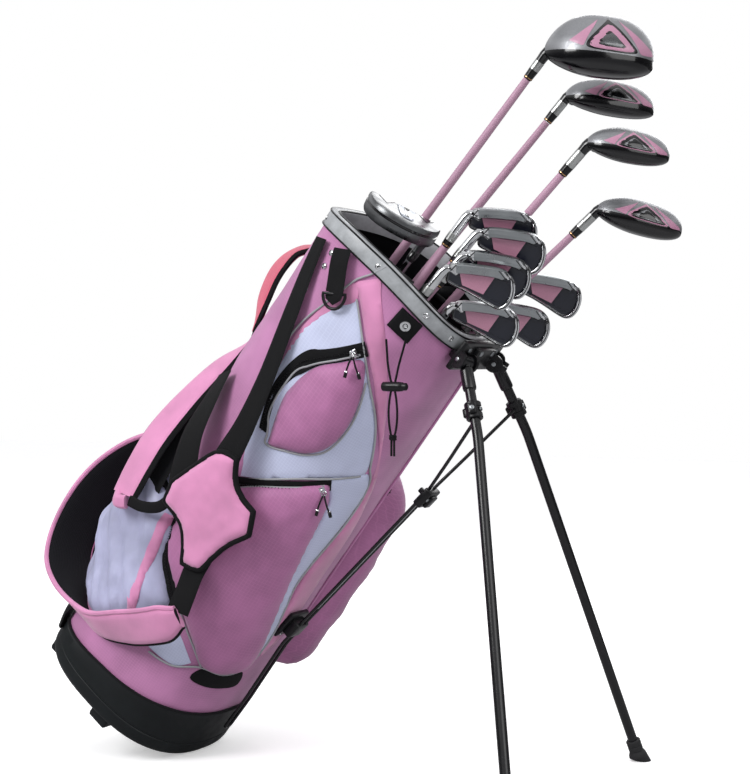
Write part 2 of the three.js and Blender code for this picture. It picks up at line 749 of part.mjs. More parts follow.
function clubs() {
  for (const [name, wood] of Object.entries(WOODS)) {
    const { group, length } = clubFrame(wood);
    const look = material(COLOUR.black, 0.15, 0.4);
    addMesh(group, `${name}_head`, woodHead(wood.head), look);
    addMesh(group, `${name}_shaft`, shaft(length, SHAFT_TIP), material(COLOUR.shaftPink, 0.3));
  }
  for (const [name, iron] of Object.entries(IRONS)) {
    const { group, length } = clubFrame(iron);
    addMesh(group, `${name}_head`, blade(), material(COLOUR.chrome, 0.2, 1));
    addMesh(group, `${name}_shaft`, shaft(length, SHAFT_TIP), material(COLOUR.shaftPink, 0.3));
  }
  const { group, length } = clubFrame(PUTTER, -1);
  addMesh(group, "putter_head", putterHead(), material(COLOUR.silver, 0.3, 0.8));
  addMesh(group, "putter_shaft", shaft(length, SHAFT_TIP), material(COLOUR.chrome, 0.2, 1));
}

// ---------------------------------------------------------------- assembly
bagBody();
pockets();
straps();
hardware();
stand();
clubs();

export default root;
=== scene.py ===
"""Looks of the golf club set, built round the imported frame.

Metres, +Z up, in the frame's own axes. Places on the bag are given in millimetres in the bag's own
upright frame (u toward the belly, v toward the far side, s up the bag), which leans by TILT.
"""

import math

import bmesh
import bpy
import numpy as np
from mathutils import Matrix, Vector, noise
from mathutils.geometry import delaunay_2d_cdt


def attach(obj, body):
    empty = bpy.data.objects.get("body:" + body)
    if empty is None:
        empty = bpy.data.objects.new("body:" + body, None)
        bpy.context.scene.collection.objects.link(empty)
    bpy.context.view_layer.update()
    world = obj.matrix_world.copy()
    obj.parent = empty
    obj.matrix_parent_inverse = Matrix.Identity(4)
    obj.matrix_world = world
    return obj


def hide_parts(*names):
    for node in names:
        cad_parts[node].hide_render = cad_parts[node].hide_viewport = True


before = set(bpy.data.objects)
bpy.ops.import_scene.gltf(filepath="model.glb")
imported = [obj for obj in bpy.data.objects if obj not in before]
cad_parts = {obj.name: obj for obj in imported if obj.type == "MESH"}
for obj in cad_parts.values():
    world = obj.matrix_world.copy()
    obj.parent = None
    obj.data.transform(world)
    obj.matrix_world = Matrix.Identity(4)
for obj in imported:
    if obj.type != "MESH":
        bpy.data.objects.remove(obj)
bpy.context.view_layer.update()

MM = 0.001
TILT = math.radians(38.5)
HEEL_MIDDLE = 3
TOP = 775  # height of the collar's top, where the bag's girth is measured
TOE_TURN = math.radians(34)
LIE = math.radians(62)
SQUARENESS = 2.5
ARC = 2.36  # millimetres of the bag's girth for each degree of its angle


# ---------------------------------------------------------------- places
BAG = Matrix.Translation((-HEEL_MIDDLE * MM, 0, 0)) @ Matrix.Rotation(TILT, 4, "Y")


def place(u, v, s):
    """A point of the bag's own frame, in metres in the row frame."""
    return BAG @ Vector((u * MM, v * MM, s * MM))


def on_bag(angle, height, out=0.0):
    """A point of the bag's surface: angle 0 is the belly, -90 the near side, 180 the spine."""
    k = height / TOP
    depth, width, centre = 139 - 5 * k + out, 137 - 9 * k + out, -138 - 20 * k
    c, s = math.cos(math.radians(angle)), math.sin(math.radians(angle))
    power = 2 / SQUARENESS
    return place(centre + depth * math.copysign(abs(c) ** power, c),
                 width * math.copysign(abs(s) ** power, s), height)


def boot_top(angle):
    """Height of the boot's edge: highest at the belly."""
    return 62 + 20 * math.cos(math.radians(angle))


def rim_top(angle):
    """Height of the collar's upper edge: lowest at the belly."""
    a = math.radians(angle)
    return 770 + 22 * math.sin(a) ** 2 - 10 * math.cos(a)


def spline(points, per=8, closed=False, corners=True):
    """A smooth run through the points; a point given twice is a corner."""
    pts = [np.array(p, float) for p in points]
    n = len(pts)
    out = []
    for i in range(n if closed else n - 1):
        p0, p1, p2, p3 = (pts[(i + k) % n] if closed else pts[min(max(i + k, 0), n - 1)]
                          for k in (-1, 0, 1, 2))
        if corners and np.allclose(p1, p2):
            continue
        for k in range(per):
            t = k / per
            square, cube = 2 * p0 - 5 * p1 + 4 * p2 - p3, 3 * p1 - p0 - 3 * p2 + p3
            out.append(0.5 * (2 * p1 + (p2 - p0) * t + square * t * t + cube * t**3))
    if not closed:
        out.append(pts[-1])
    return out


def bow(start, corner, end, shares):
    """Points of the curve that rounds a corner, at shares of its way."""
    return [(1 - t) ** 2 * start + 2 * t * (1 - t) * corner + t * t * end for t in shares]


def crown(distance, reach):
    """A rounded rise, from 0 at an edge to 1 at reach from it."""
    t = min(distance / reach, 1.0)
    return math.sqrt(max(0.0, 1 - (1 - t) ** 2))


def ease(t):
    """A smooth step from 0 to 1."""
    t = min(max(t, 0.0), 1.0)
    return t * t * (3 - 2 * t)


# ---------------------------------------------------------------- camera, light and floor
EYE = (1.307, -1.920, 0.577)
AZIMUTH, PITCH = math.radians(27.87), math.radians(0.91)
LENS, SENSOR = 72.1, 36
# world brightness from straight down (0) to straight up (1)
SKY = [(0.0, 0.06), (0.16, 0.12), (0.34, 0.5), (0.5, 1.15), (0.66, 0.4), (1.0, 1.0)]
BLUE_TINT = 1.02
FLOOR_REACH = 7


def camera():
    data = bpy.data.cameras.new("camera")
    data.sensor_width = SENSOR
    data.lens = LENS
    eye = bpy.data.objects.new("camera", data)
    bpy.context.scene.collection.objects.link(eye)
    eye.location = EYE
    gaze = Vector((-math.sin(AZIMUTH) * math.cos(PITCH), math.cos(AZIMUTH) * math.cos(PITCH),
                   -math.sin(PITCH)))
    eye.rotation_euler = gaze.to_track_quat("-Z", "Y").to_euler()
    bpy.context.scene.camera = eye


def area(name, at, target, size, watts):
    data = bpy.data.lights.new(name, "AREA")
    data.size = size
    data.energy = watts
    lamp = bpy.data.objects.new(name, data)
    bpy.context.scene.collection.objects.link(lamp)
    lamp.location = at
    gaze = Vector(target) - Vector(at)
    lamp.rotation_euler = gaze.to_track_quat("-Z", "Y").to_euler()


def studio():
    area("key", (-0.9, -2.3, 2.3), (0.2, 0, 0.45), 1.4, 60)
    area("fill", (2.4, -1.0, 1.5), (0.3, 0, 0.5), 1.6, 17)
    area("back", (0.4, 2.2, 1.9), (0.2, 0, 0.5), 1.6, 24)
    world = bpy.data.worlds.new("studio")
    bpy.context.scene.world = world
    world.use_nodes = True
    tree = world.node_tree
    shade = tree.nodes["Background"]
    shade.inputs["Strength"].default_value = 1.0
    # a soft box overhead and a greyer band at the horizon, for the metal to reflect
    way = tree.nodes.new("ShaderNodeTexCoord")
    split = tree.nodes.new("ShaderNodeSeparateXYZ")
    ramp = tree.nodes.new("ShaderNodeValToRGB")
    seen = tree.nodes.new("ShaderNodeLightPath")
    mix = tree.nodes.new("ShaderNodeMix")
    mix.data_type = "RGBA"
    tree.links.new(way.outputs["Generated"], split.inputs[0])
    tree.links.new(split.outputs["Z"], ramp.inputs["Fac"])
    elements = ramp.color_ramp.elements
    while len(elements) < len(SKY):
        elements.new(0.5)
    for element, (at, value) in zip(elements, SKY):
        element.position = at
        element.color = (value, value, value * BLUE_TINT, 1)
    tree.links.new(seen.outputs["Is Camera Ray"], mix.inputs["Factor"])
    tree.links.new(ramp.outputs["Color"], mix.inputs["A"])
    mix.inputs["B"].default_value = (1, 1, 1, 1)
    tree.links.new(mix.outputs["Result"], shade.inputs["Color"])
    bpy.context.scene.view_settings.view_transform = "Standard"

    floor = Shape().grid([[(x, y, 0) for x in (-FLOOR_REACH, FLOOR_REACH)]
                          for y in (-FLOOR_REACH, FLOOR_REACH)])
    floor.make("floor", [FLOOR], None)


# ---------------------------------------------------------------- meshes
class Shape:
    """Vertices and faces, with a UV in metres and a material slot for each face."""

    def __init__(self):
        self.verts, self.faces, self.uvs, self.slots = [], [], [], []

    def grid(self, rows, around=False, cap=False, loop=False, slot=0):
        """Quads through rows of points. around closes each row, loop joins last row to first."""
        rows = [[Vector(p) for p in row] for row in rows]
        n, m = len(rows), len(rows[0])
        base = len(self.verts)
        self.verts += [p for row in rows for p in row]
        middle = rows[n // 2]
        across, along = [0.0], [0.0]
        for j in range(m):
            across.append(across[-1] + (middle[(j + 1) % m] - middle[j]).length)
        for i in range(n):
            along.append(along[-1] + (rows[(i + 1) % n][0] - rows[i][0]).length)
        for i in range(n if loop else n - 1):
            for j in range(m if around else m - 1):
                k, l = (j + 1) % m, (i + 1) % n
                self.faces.append(tuple(base + a * m + b for a, b in
                                        ((i, j), (i, k), (l, k), (l, j))))
                self.uvs.append([(across[j + a], along[i + b]) for a, b in
                                 ((0, 0), (1, 0), (1, 1), (0, 1))])
                self.slots.append(slot(i, j) if callable(slot) else slot)
        if cap:
            for i, order in ((0, 1), (n - 1, -1)):
                ring = [base + i * m + j for j in range(m)][::order]
                centre = sum((self.verts[r] for r in ring), Vector()) / m
                self.verts.append(centre)
                hub = len(self.verts) - 1
                for j in range(m):
                    self.faces.append((ring[j], ring[(j + 1) % m], hub))
                    self.uvs.append([(0, 0), (0.002, 0), (0.001, 0.001)])
                    self.slots.append(slot(i, j) if callable(slot) else slot)
        return self

    def tube(self, path, radius, sides=12, slot=0, cap=True, closed=False):
        """A round tube along a path; radius is a number or one for each point."""
        path = [Vector(p) for p in path]
        n = len(path)
        radii = [radius] * n if np.isscalar(radius) else radius
        rows, across = [], None
        for i, p in enumerate(path):
            before = path[i - 1] if closed or i else path[0]
            after = path[(i + 1) % n] if closed or i < n - 1 else path[-1]
            way = (after - before).normalized()
            if across is None:
                across = way.orthogonal().normalized()
            across = (across - way * across.dot(way)).normalized()
            third = way.cross(across)
            rows.append([p + radii[i] * (math.cos(a) * across + math.sin(a) * third)
                         for a in (2 * math.pi * j / sides for j in range(sides))])
        return self.grid(rows, around=True, cap=cap and not closed, loop=closed, slot=slot)

    def lathe(self, profile, matrix, sides=32, slot=0, cap=True):
        """A turned body about +Z from (radius, height) pairs in millimetres."""
        round_it = [2 * math.pi * j / sides for j in range(sides)]
        rows = [[matrix @ Vector((r * MM * math.cos(a), r * MM * math.sin(a), z * MM))
                 for a in round_it] for r, z in profile]
        return self.grid(rows, around=True, cap=cap, slot=slot)

    def pad(self, size, matrix, edge=1.5, slot=0):
        """A block with rounded edges, its size in millimetres."""
        x, y, z = (v / 2 for v in size)
        edge = min(edge, x * 0.9, y * 0.9, z * 0.9)
        rows = []
        bevel = 0.3 * edge
        for inset, h in ((edge, -z), (bevel, -z + bevel), (0, -z + edge), (0, z - edge),
                         (bevel, z - bevel), (edge, z)):
            row = []
            for cx, cy, start in ((1, 1, 0), (-1, 1, 90), (-1, -1, 180), (1, -1, 270)):
                for turn in (0, 30, 60, 90):
                    a = math.radians(start + turn)
                    reach = max(edge - inset, 0.05)
                    px = cx * (x - edge) + reach * math.cos(a)
                    py = cy * (y - edge) + reach * math.sin(a)
                    row.append(matrix @ Vector((px * MM, py * MM, h * MM)))
            rows.append(row)
        return self.grid(rows, around=True, cap=True, slot=slot)

    def sheet(self, faces, upper, lower, uv, slot=0):
        """A closed sheet: faces through the upper points, turned over through the lower, sides."""
        base, total = len(self.verts), len(upper)
        self.verts += [*upper, *lower]
        border = {}
        for face in faces:
            for turned in (face, tuple(i + total for i in face[::-1])):
                self.faces.append(tuple(base + i for i in turned))
                self.uvs.append([uv[i % total] for i in turned])
            border.update(dict.fromkeys(zip(face, face[1:] + face[:1])))
        for a, b in border:
            if (b, a) not in border:
                self.faces.append(tuple(base + i for i in (b, a, a + total, b + total)))
                self.uvs.append([uv[b], uv[a], uv[a], uv[b]])
        self.slots += [slot] * (len(self.faces) - len(self.slots))
        return self

    def make(self, name, materials, body, slot=None, *nodes, sharp=40):
        """The finished piece on its body and in place of its nodes; slot is not used."""
        mesh = bpy.data.meshes.new(name)
        mesh.from_pydata([tuple(v) for v in self.verts], [], self.faces)
        layer = mesh.uv_layers.new(name="metres")
        flat = [c for face in self.uvs for uv in face for c in uv]
        layer.data.foreach_set("uv", flat)
        for look in materials:
            mesh.materials.append(look)
        mesh.polygons.foreach_set("material_index", self.slots)
        mesh.polygons.foreach_set("use_smooth", [True] * len(self.faces))
        work = bmesh.new()
        work.from_mesh(mesh)
        bmesh.ops.recalc_face_normals(work, faces=work.faces)
        work.to_mesh(mesh)
        work.free()
        mesh.set_sharp_from_angle(angle=math.radians(sharp))
        mesh.update()
        obj = bpy.data.objects.new(name, mesh)
        bpy.context.scene.collection.objects.link(obj)
        if body:
            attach(obj, body)
        if any(nodes):
            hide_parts(*nodes)
        return obj


def facing(at, normal, up=(0, 0, 1)):
    """A matrix at a point with +Z along the normal and +Y as near to up as it can be."""
    z = Vector(normal).normalized()
    x = Vector(up).cross(z).normalized()
    y = z.cross(x)
    turn = Matrix((x, y, z)).transposed().to_4x4()
    return Matrix.Translation(at) @ turn


def on_skin(angle, height, out=0.0):
    """A matrix on the bag: +Z out of its surface, +Y up the bag."""
    at = on_bag(angle, height, out)
    along = on_bag(angle + 1, height, out) - on_bag(angle - 1, height, out)
    up = on_bag(angle, height + 5, out) - on_bag(angle, height - 5, out)
    return facing(at, along.cross(up), up)


# ---------------------------------------------------------------- materials
class Look:
    """A material's nodes, added with few words."""

    def __init__(self, name, **fixed):
        self.mat = bpy.data.materials.new(name)
        self.mat.use_nodes = True
        self.tree = self.mat.node_tree
        self.shader = self.tree.nodes["Principled BSDF"]
        for key, value in fixed.items():
            self.set(self.shader, key.replace("_", " "), value)

    def set(self, node, key, value):
        socket = node.inputs[key]
        if isinstance(value, bpy.types.NodeSocket):
            self.tree.links.new(value, socket)
        else:
            if getattr(socket, "type", "") == "RGBA" and len(value) == 3:
                value = (*value, 1)
            socket.default_value = value

    def node(self, kind, inputs=None, out=0, **props):
        node = self.tree.nodes.new("ShaderNode" + kind)
        for key, value in props.items():
            setattr(node, key, value)
        for key, value in (inputs or {}).items():
            self.set(node, key, value)
        return node.outputs[out]

    def math(self, operation, a, b=0.0):
        return self.node("Math", {0: a, 1: b}, operation=operation)

    def uv(self):
        return self.node("UVMap", uv_map="metres")

    def space(self):
        return self.node("TexCoord", out="Object")

    def noise(self, where, scale, detail=3.0, roughness=0.5):
        inputs = {"Vector": where, "Scale": scale, "Detail": detail, "Roughness": roughness}
        return self.node("TexNoise", inputs)

    def bands(self, where, period_mm, direction):
        """Sine bands; a wave texture of scale s repeats every pi / (10 s)."""
        return self.node("TexWave", {"Vector": where, "Scale": 0.31416 / (period_mm * MM)},
                         out="Fac", wave_type="BANDS", bands_direction=direction,
                         wave_profile="SIN")

    def ramp(self, value, low, high, start=0.35, end=0.65):
        """A value spread between low and high, as numbers or as colours."""
        if np.isscalar(low):
            return self.node("MapRange", {"Value": value, "From Min": start, "From Max": end,
                                          "To Min": low, "To Max": high})
        factor = self.node("MapRange", {"Value": value, "From Min": start, "From Max": end})
        return self.mix(factor, (*low, 1), (*high, 1))

    def mix(self, factor, a, b):
        mix = self.tree.nodes.new("ShaderNodeMix")
        mix.data_type = "RGBA"
        self.set(mix, "Factor", factor)
        self.set(mix, "A", a)
        self.set(mix, "B", b)
        return mix.outputs["Result"]

    def bump(self, height, depth_mm, strength=0.6, normal=None):
        inputs = {"Height": height, "Distance": depth_mm * MM, "Strength": strength}
        if normal is not None:
            inputs["Normal"] = normal
        return self.node("Bump", inputs)

    def finish(self, **linked):
        for key, value in linked.items():
            self.set(self.shader, key.replace("_", " "), value)
        return self.mat


def shade(colour, factor):
    return tuple(min(1.0, c * factor) for c in colour)


def ripstop(name, colour, light=1.18, dark=0.82, grid_mm=4.2):
    """Fine plain weave with a raised thread every few millimetres, and soft creases."""
    k = Look(name, Roughness=0.62, Sheen_Weight=0.25, Sheen_Roughness=0.45)
    uv = k.uv()
    weave = k.math("MULTIPLY", k.bands(uv, 0.9, "X"), k.bands(uv, 0.9, "Y"))
    ridge = k.math("MAXIMUM", k.ramp(k.bands(uv, grid_mm, "X"), 0, 1, 0.9, 1.0),
                   k.ramp(k.bands(uv, grid_mm, "Y"), 0, 1, 0.9, 1.0))
    soft = k.noise(k.space(), 14, 4)
    # the tone follows the crease noise, darker where the creases sink and lighter where they rise:
    # partly painted shade of the creases, partly dirt
    base = k.ramp(soft, shade(colour, dark), shade(colour, light), 0.3, 0.7)
    tone = k.mix(k.math("MULTIPLY", ridge, 0.35), base, (*shade(colour, 1.35), 1))
    crease = k.bump(soft, 3.0, 0.35)
    height = k.math("ADD", k.math("MULTIPLY", weave, 0.5), ridge)
    return k.finish(Base_Color=tone, Normal=k.bump(height, 0.15, 0.5, crease))


def cloth(name, colour, rough=0.75, sheen=0.4, light=1.15, dark=0.85, gloss=0.5):
    """Plain woven cloth with soft creases."""
    k = Look(name, Roughness=rough, Sheen_Weight=sheen, Sheen_Roughness=0.5,
             Specular_IOR_Level=gloss)
    uv = k.uv()
    weave = k.math("MULTIPLY", k.bands(uv, 0.8, "X"), k.bands(uv, 0.8, "Y"))
    soft = k.noise(k.space(), 16, 4)
    # the tone follows the crease noise, darker where the creases sink and lighter where they rise:
    # partly painted shade of the creases, partly dirt
    base = k.ramp(soft, shade(colour, dark), shade(colour, light), 0.3, 0.7)
    tone = k.mix(k.math("MULTIPLY", weave, 0.25), base, (*shade(colour, 0.8), 1))
    return k.finish(Base_Color=tone, Normal=k.bump(weave, 0.15, 0.5, k.bump(soft, 3.0, 0.4)))


def webbing_look(name, colour):
    """Heavy woven tape: slanting ribs along its length."""
    k = Look(name, Roughness=0.75, Sheen_Weight=0.02, Specular_IOR_Level=0.16)
    uv = k.uv()
    turned = k.node("Mapping", {"Vector": uv, "Rotation": (0, 0, 0.7)})
    ribs = k.math("MULTIPLY", k.bands(turned, 1.6, "X"), k.bands(uv, 1.3, "Y"))
    soft = k.noise(k.space(), 30, 3)
    tone = k.ramp(ribs, shade(colour, 0.6), shade(colour, 1.7), 0.1, 0.9)
    return k.finish(Base_Color=tone, Normal=k.bump(ribs, 0.3, 0.7, k.bump(soft, 1, 0.3)))


def mesh_look(name, colour):
    """Spacer mesh: small round holes in rows, painted darker than the threads round them as the shade
    inside the holes.
    """
    k = Look(name, Roughness=0.9, Sheen_Weight=0.02, Specular_IOR_Level=0.12)
    cells = k.node("TexVoronoi", {"Vector": k.uv(), "Scale": 420.0, "Randomness": 0.15},
                   out="Distance", feature="F1")
    soft = k.noise(k.space(), 20, 3)
    # painted shade: the holes darker, the threads between them lighter
    tone = k.ramp(cells, shade(colour, 0.35), shade(colour, 1.5), 0.15, 0.5)
    return k.finish(Base_Color=tone, Normal=k.bump(cells, 0.6, 0.7, k.bump(soft, 2, 0.3)))


def plastic(name, colour, rough=0.4, grain_mm=1.2, depth_mm=0.05, coat=0.0, gloss=0.5):
    """Moulded plastic: fine grain, and scuffs that show in the gloss."""
    k = Look(name, Coat_Weight=coat, Coat_Roughness=0.12, Specular_IOR_Level=gloss)
    where = k.space()
    grain = k.noise(where, 1 / (grain_mm * MM), 2)
    scuff = k.noise(where, 38, 5, 0.7)
    tone = k.ramp(scuff, shade(colour, 0.85), shade(colour, 1.3), 0.35, 0.75)
    return k.finish(Base_Color=tone, Normal=k.bump(grain, depth_mm, 0.5),
                    Roughness=k.ramp(scuff, rough * 0.8, min(1.0, rough * 1.3), 0.3, 0.7))


def metal(name, colour, rough=0.15, brushed=0.0, metallic=1.0):
    """Polished or brushed metal with faint scratches."""
    k = Look(name, Metallic=metallic)
    where = k.space()
    lines = k.noise(k.node("Mapping", {"Vector": where, "Scale": (900, 60, 900)}), 1.0, 3)
    smear = k.noise(where, 45, 4)
    tone = k.ramp(smear, shade(colour, 0.88), shade(colour, 1.08))
    return k.finish(Base_Color=tone, Roughness=k.ramp(smear, rough * 0.75, rough * 1.35),
                    Normal=k.bump(lines, 0.02 + 0.06 * brushed, 0.15 + 0.4 * brushed))


def lacquer(name, colour, flake=0.0, rough=0.22, metallic=0.0, coat=1.0):
    """Paint under clear lacquer, with a little flake and orange peel."""
    k = Look(name, Metallic=metallic, Coat_Weight=coat, Coat_Roughness=0.03)
    where = k.space()
    speck = k.noise(where, 700, 1)
    peel = k.noise(where, 300, 1)
    tone = k.ramp(speck, shade(colour, 1 - flake), shade(colour, 1 + flake), 0.4, 0.6)
    return k.finish(Base_Color=tone, Roughness=k.ramp(peel, rough * 0.85, rough * 1.2),
                    Normal=k.bump(peel, 0.01, 0.08))


def rubber(name, colour):
    """Grip rubber with small pits."""
    k = Look(name, Roughness=0.8)
    where = k.space()
    pits = k.node("TexVoronoi", {"Vector": where, "Scale": 650.0}, out="Distance", feature="F1")
    dust = k.noise(where, 24, 4)
    tone = k.ramp(dust, shade(colour, 0.8), shade(colour, 1.5))
    return k.finish(Base_Color=tone, Normal=k.bump(pits, 0.25, 0.5))


def pale_floor():
    """White paper to the camera and greyer to all other rays, so that it casts little light up."""
    k = Look("floor_paper", Roughness=0.9, Emission_Color=(1, 1, 1, 1))
    grain = k.noise(k.space(), 60, 3)
    seen = k.node("LightPath", out="Is Camera Ray")
    paper = k.ramp(grain, (0.93, 0.93, 0.935), (0.96, 0.96, 0.96))
    return k.finish(Base_Color=k.mix(seen, (0.42, 0.42, 0.43, 1), paper),
                    Emission_Strength=k.math("MULTIPLY", seen, 0.34),
                    Normal=k.bump(grain, 0.1, 0.1))


FLOOR = pale_floor()
PINK = ripstop("pink_ripstop", (0.50, 0.205, 0.40))
PINK_POCKET = ripstop("pink_pocket_ripstop", (0.42, 0.155, 0.325), grid_mm=5.0)
PINK_BRIGHT = cloth("pink_bright_cloth", (0.70, 0.27, 0.49))
WHITE = ripstop("white_ripstop", (0.56, 0.60, 0.80), light=1.08, dark=0.92, grid_mm=4.0)
SATIN = cloth("white_satin", (0.42, 0.43, 0.61), rough=0.40, sheen=0.1, light=1.25, dark=0.8)
CORAL = cloth("coral_cloth", (0.72, 0.12, 0.20))
GREY_PIPE = cloth("grey_piping", (0.36, 0.37, 0.39), rough=0.5, sheen=0.1)
BLACK_CLOTH = cloth("black_cloth", (0.006, 0.006, 0.007), sheen=0.02, light=1.5, dark=0.7,
                    gloss=0.15)
LINING = cloth("black_lining", (0.004, 0.004, 0.005), sheen=0.0, light=1.4, dark=0.7, gloss=0.1)
WEBBING = webbing_look("black_webbing", (0.006, 0.006, 0.007))
MESH = mesh_look("black_spacer_mesh", (0.008, 0.008, 0.010))
BOOT = plastic("boot_plastic", (0.006, 0.008, 0.009), rough=0.42, grain_mm=0.9, depth_mm=0.06,
               gloss=0.25)
BLACK_PLASTIC = plastic("black_plastic", (0.006, 0.006, 0.007), rough=0.3, gloss=0.3)
SILVER_PLASTIC = plastic("silver_plastic", (0.36, 0.375, 0.39), rough=0.34)
LEG_PAINT = plastic("leg_paint", (0.005, 0.005, 0.006), rough=0.24, coat=0.15, gloss=0.35)
RUBBER = rubber("black_rubber", (0.010, 0.010, 0.011))
CHROME = metal("chrome", (0.66, 0.67, 0.68), rough=0.09)
SATIN_METAL = metal("satin_metal", (0.34, 0.36, 0.37), rough=0.33, brushed=0.6)
SHAFT_PINK = lacquer("shaft_pink", (0.50, 0.29, 0.40), flake=0.02, rough=0.5, coat=0.0)
GLOSS_BLACK = lacquer("gloss_black", (0.003, 0.003, 0.004), rough=0.14, coat=0.25)
SOLE_SILVER = lacquer("sole_silver", (0.27, 0.275, 0.29), flake=0.06, metallic=0.6, rough=0.38,
                      coat=0.2)
CLUB_PINK = lacquer("club_pink", (0.52, 0.25, 0.37), flake=0.04, rough=0.35, coat=0.2)
GEM = lacquer("badge_gem", (0.10, 0.105, 0.11), flake=0.1, metallic=0.8, rough=0.25)
BADGE_PINK = lacquer("badge_pink", (0.55, 0.25, 0.36), flake=0.04, rough=0.35, coat=0.4)
NAVY = lacquer("navy_panel", (0.006, 0.008, 0.018), rough=0.35, coat=0.1)
FERRULE = plastic("ferrule_black", (0.004, 0.004, 0.005), rough=0.25, coat=0.1, gloss=0.3)
BRUSHED_BAND = metal("brushed_band", (0.46, 0.47, 0.46), rough=0.3, brushed=1.0)
GOLD_LINE = metal("gold_line", (0.55, 0.32, 0.16), rough=0.2)
PLATE = metal("pale_plate", (0.34, 0.37, 0.42), rough=0.3, metallic=0.6)
MALLET = metal("mallet_grey", (0.16, 0.165, 0.17), rough=0.3, brushed=0.5)

camera()
studio()

# ---------------------------------------------------------------- drawcord
CORD_LEFT = [
    (-70, -125.5, 719), (-61, -127, 706), (-52, -128, 692.5), (-43, -129, 681.5), (-34, -129, 670),
    (-25, -129, 658.5), (-16, -129, 647), (-8, -129, 637), (0, -129, 627), (7, -129, 618),
    (14, -129, 609), (22, -129, 599),
]
CORD_DIAMETER = 0.003
AT_TOGGLE = 0.36  # the share of the cord above the toggle


def cords():
    """The drawcord of the rain hood: two strands through a toggle to a knot."""
    toggle_at, knot_at = place(-34, -131, 670), place(7, -131, 618)
    down = (knot_at - toggle_at).normalized()
    toggle = Shape()
    across = Vector((math.cos(TILT), 0, -math.sin(TILT)))
    side = (across - down * across.dot(down)).normalized()
    turn = facing(toggle_at, side, down)
    toggle.lathe([(5.4, -15), (6.2, -14), (6.4, -6), (6.6, 0), (6.4, 9), (5.8, 14), (5.0, 15)], turn)
    toggle.lathe([(4.4, 14.5), (5.0, 15), (5.0, 19), (4.0, 20)], turn)
    toggle = toggle.make("cord_toggle_barrel", [BLACK_PLASTIC], "cord_toggle", "black_hardware",
                         "cord_toggle")

    knot = Shape()
    for k in range(3):
        turn = 2 * math.pi / 3 * k
        ring = [knot_at + 2.2 * MM * math.sin(a + turn) * down
                + 3.6 * MM * (math.cos(a) * side + math.sin(a) * Vector((0, -1, 0)))
                for a in np.linspace(0, 2 * math.pi, 17)[:-1]]
        knot.tube(ring, 1.7 * MM, 8, closed=True)
    knot = knot.make("cord_knot_wraps", [BLACK_CLOTH], "bag", "black_webbing", "cord_knot")

    for name, shift in (("drawcord_left", -1), ("drawcord_right", 1)):
        route = []
        for i, (u, v, s) in enumerate(CORD_LEFT):
            t = i / (len(CORD_LEFT) - 1)
            spread = 10 * max(1 - t / AT_TOGGLE, 0)
            spread += 3.5 * math.sin(math.pi * min(max((t - AT_TOGGLE) / 0.46, 0), 1))
            route.append(place(u + shift * (1.7 + spread), v - 2, s + shift * (1.2 + spread * 0.7)))
        route = [Vector(p) for p in spline(route, 3)]
        data = bpy.data.curves.new(name, "CURVE")
        data.dimensions = "3D"
        line = data.splines.new("POLY")
        line.points.add(len(route) - 1)
        for point, at in zip(line.points, route):
            point.co = (*at, 1)
        data.bevel_depth = CORD_DIAMETER / 2
        data.bevel_resolution = 3
        data.use_fill_caps = True
        data.materials.append(BLACK_CLOTH)
        cord = bpy.data.objects.new(name, data)
        bpy.context.scene.collection.objects.link(cord)
        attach(cord, "bag")
        if shift < 0:
            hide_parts("drawcord")
        length = sum((b - a).length for a, b in zip(route, route[1:]))
        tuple(route[0])


cords()

# ---------------------------------------------------------------- the bag's skin and panels
def skin():
    """The pink fabric of the bag and its black lining."""
    angles = [-180 + 360 * i / 120 for i in range(120)]
    steps = 64

    def rows(out, wobble):
        result = []
        for i in range(steps + 1):
            row = []
            for angle in angles:
                low, high = boot_top(angle) - 2, rim_top(angle) - 22
                s = low + (high - low) * i / steps
                ripple = wobble * noise.noise(Vector((angle / 26, s / 60, 1.7)))
                ripple += 0.5 * wobble * noise.noise(Vector((angle / 9, s / 34, 7.1)))
                ripple *= math.sin(math.pi * i / steps) ** 0.4 if 0 < i < steps else 0
                row.append(on_bag(angle, s, out + ripple))
            result.append(row)
        return result

    Shape().grid(rows(0.0, 2.0), around=True).make("bag_skin", [PINK], "bag", "pink_ripstop",
                                                   "near_side_wall", "far_side_wall")
    Shape().grid(rows(-4.5, 0.0), around=True).make("bag_lining", [LINING], "bag", "black_webbing")


def sheet_points(outline, step, arc=ARC):
    """Points and triangles inside a smooth closed outline of (angle, height) points, in flat
    millimetres, and a function for how far a point is from the outline."""
    run = [(a * arc, s) for a, s in spline(outline, 7, closed=True)]
    ring = [np.array(run[0])]
    for p in run[1:]:
        if np.linalg.norm(np.array(p) - ring[-1]) > 0.45 * step:
            ring.append(np.array(p))
    ring = np.array(ring)
    nxt = np.roll(ring, -1, axis=0)

    def distance(p):
        d = nxt - ring
        t = np.clip(((p - ring) * d).sum(1) / (d * d).sum(1), 0, 1)
        return np.linalg.norm(ring + d * t[:, None] - p, axis=1).min()

    def inside(p):
        crosses = (ring[:, 1] > p[1]) != (nxt[:, 1] > p[1])
        with np.errstate(divide="ignore", invalid="ignore"):
            x = ring[:, 0] + (p[1] - ring[:, 1]) / (nxt[:, 1] - ring[:, 1]) * (nxt[:, 0] - ring[:, 0])
        return np.count_nonzero(crosses & (x > p[0])) % 2 == 1

    low, high = ring.min(0), ring.max(0)
    inner = []
    for j, y in enumerate(np.arange(low[1], high[1], step * 0.87)):
        for x in np.arange(low[0] + (j % 2) * step / 2, high[0], step):
            p = np.array((x, y))
            if inside(p) and distance(p) > 0.5 * step:
                inner.append(p)
    points = [Vector(p) for p in [*ring, *inner]]
    found = delaunay_2d_cdt(points, [], [list(range(len(ring)))], 1, 1e-5)
    return found[0], [tuple(f) for f in found[2]], distance


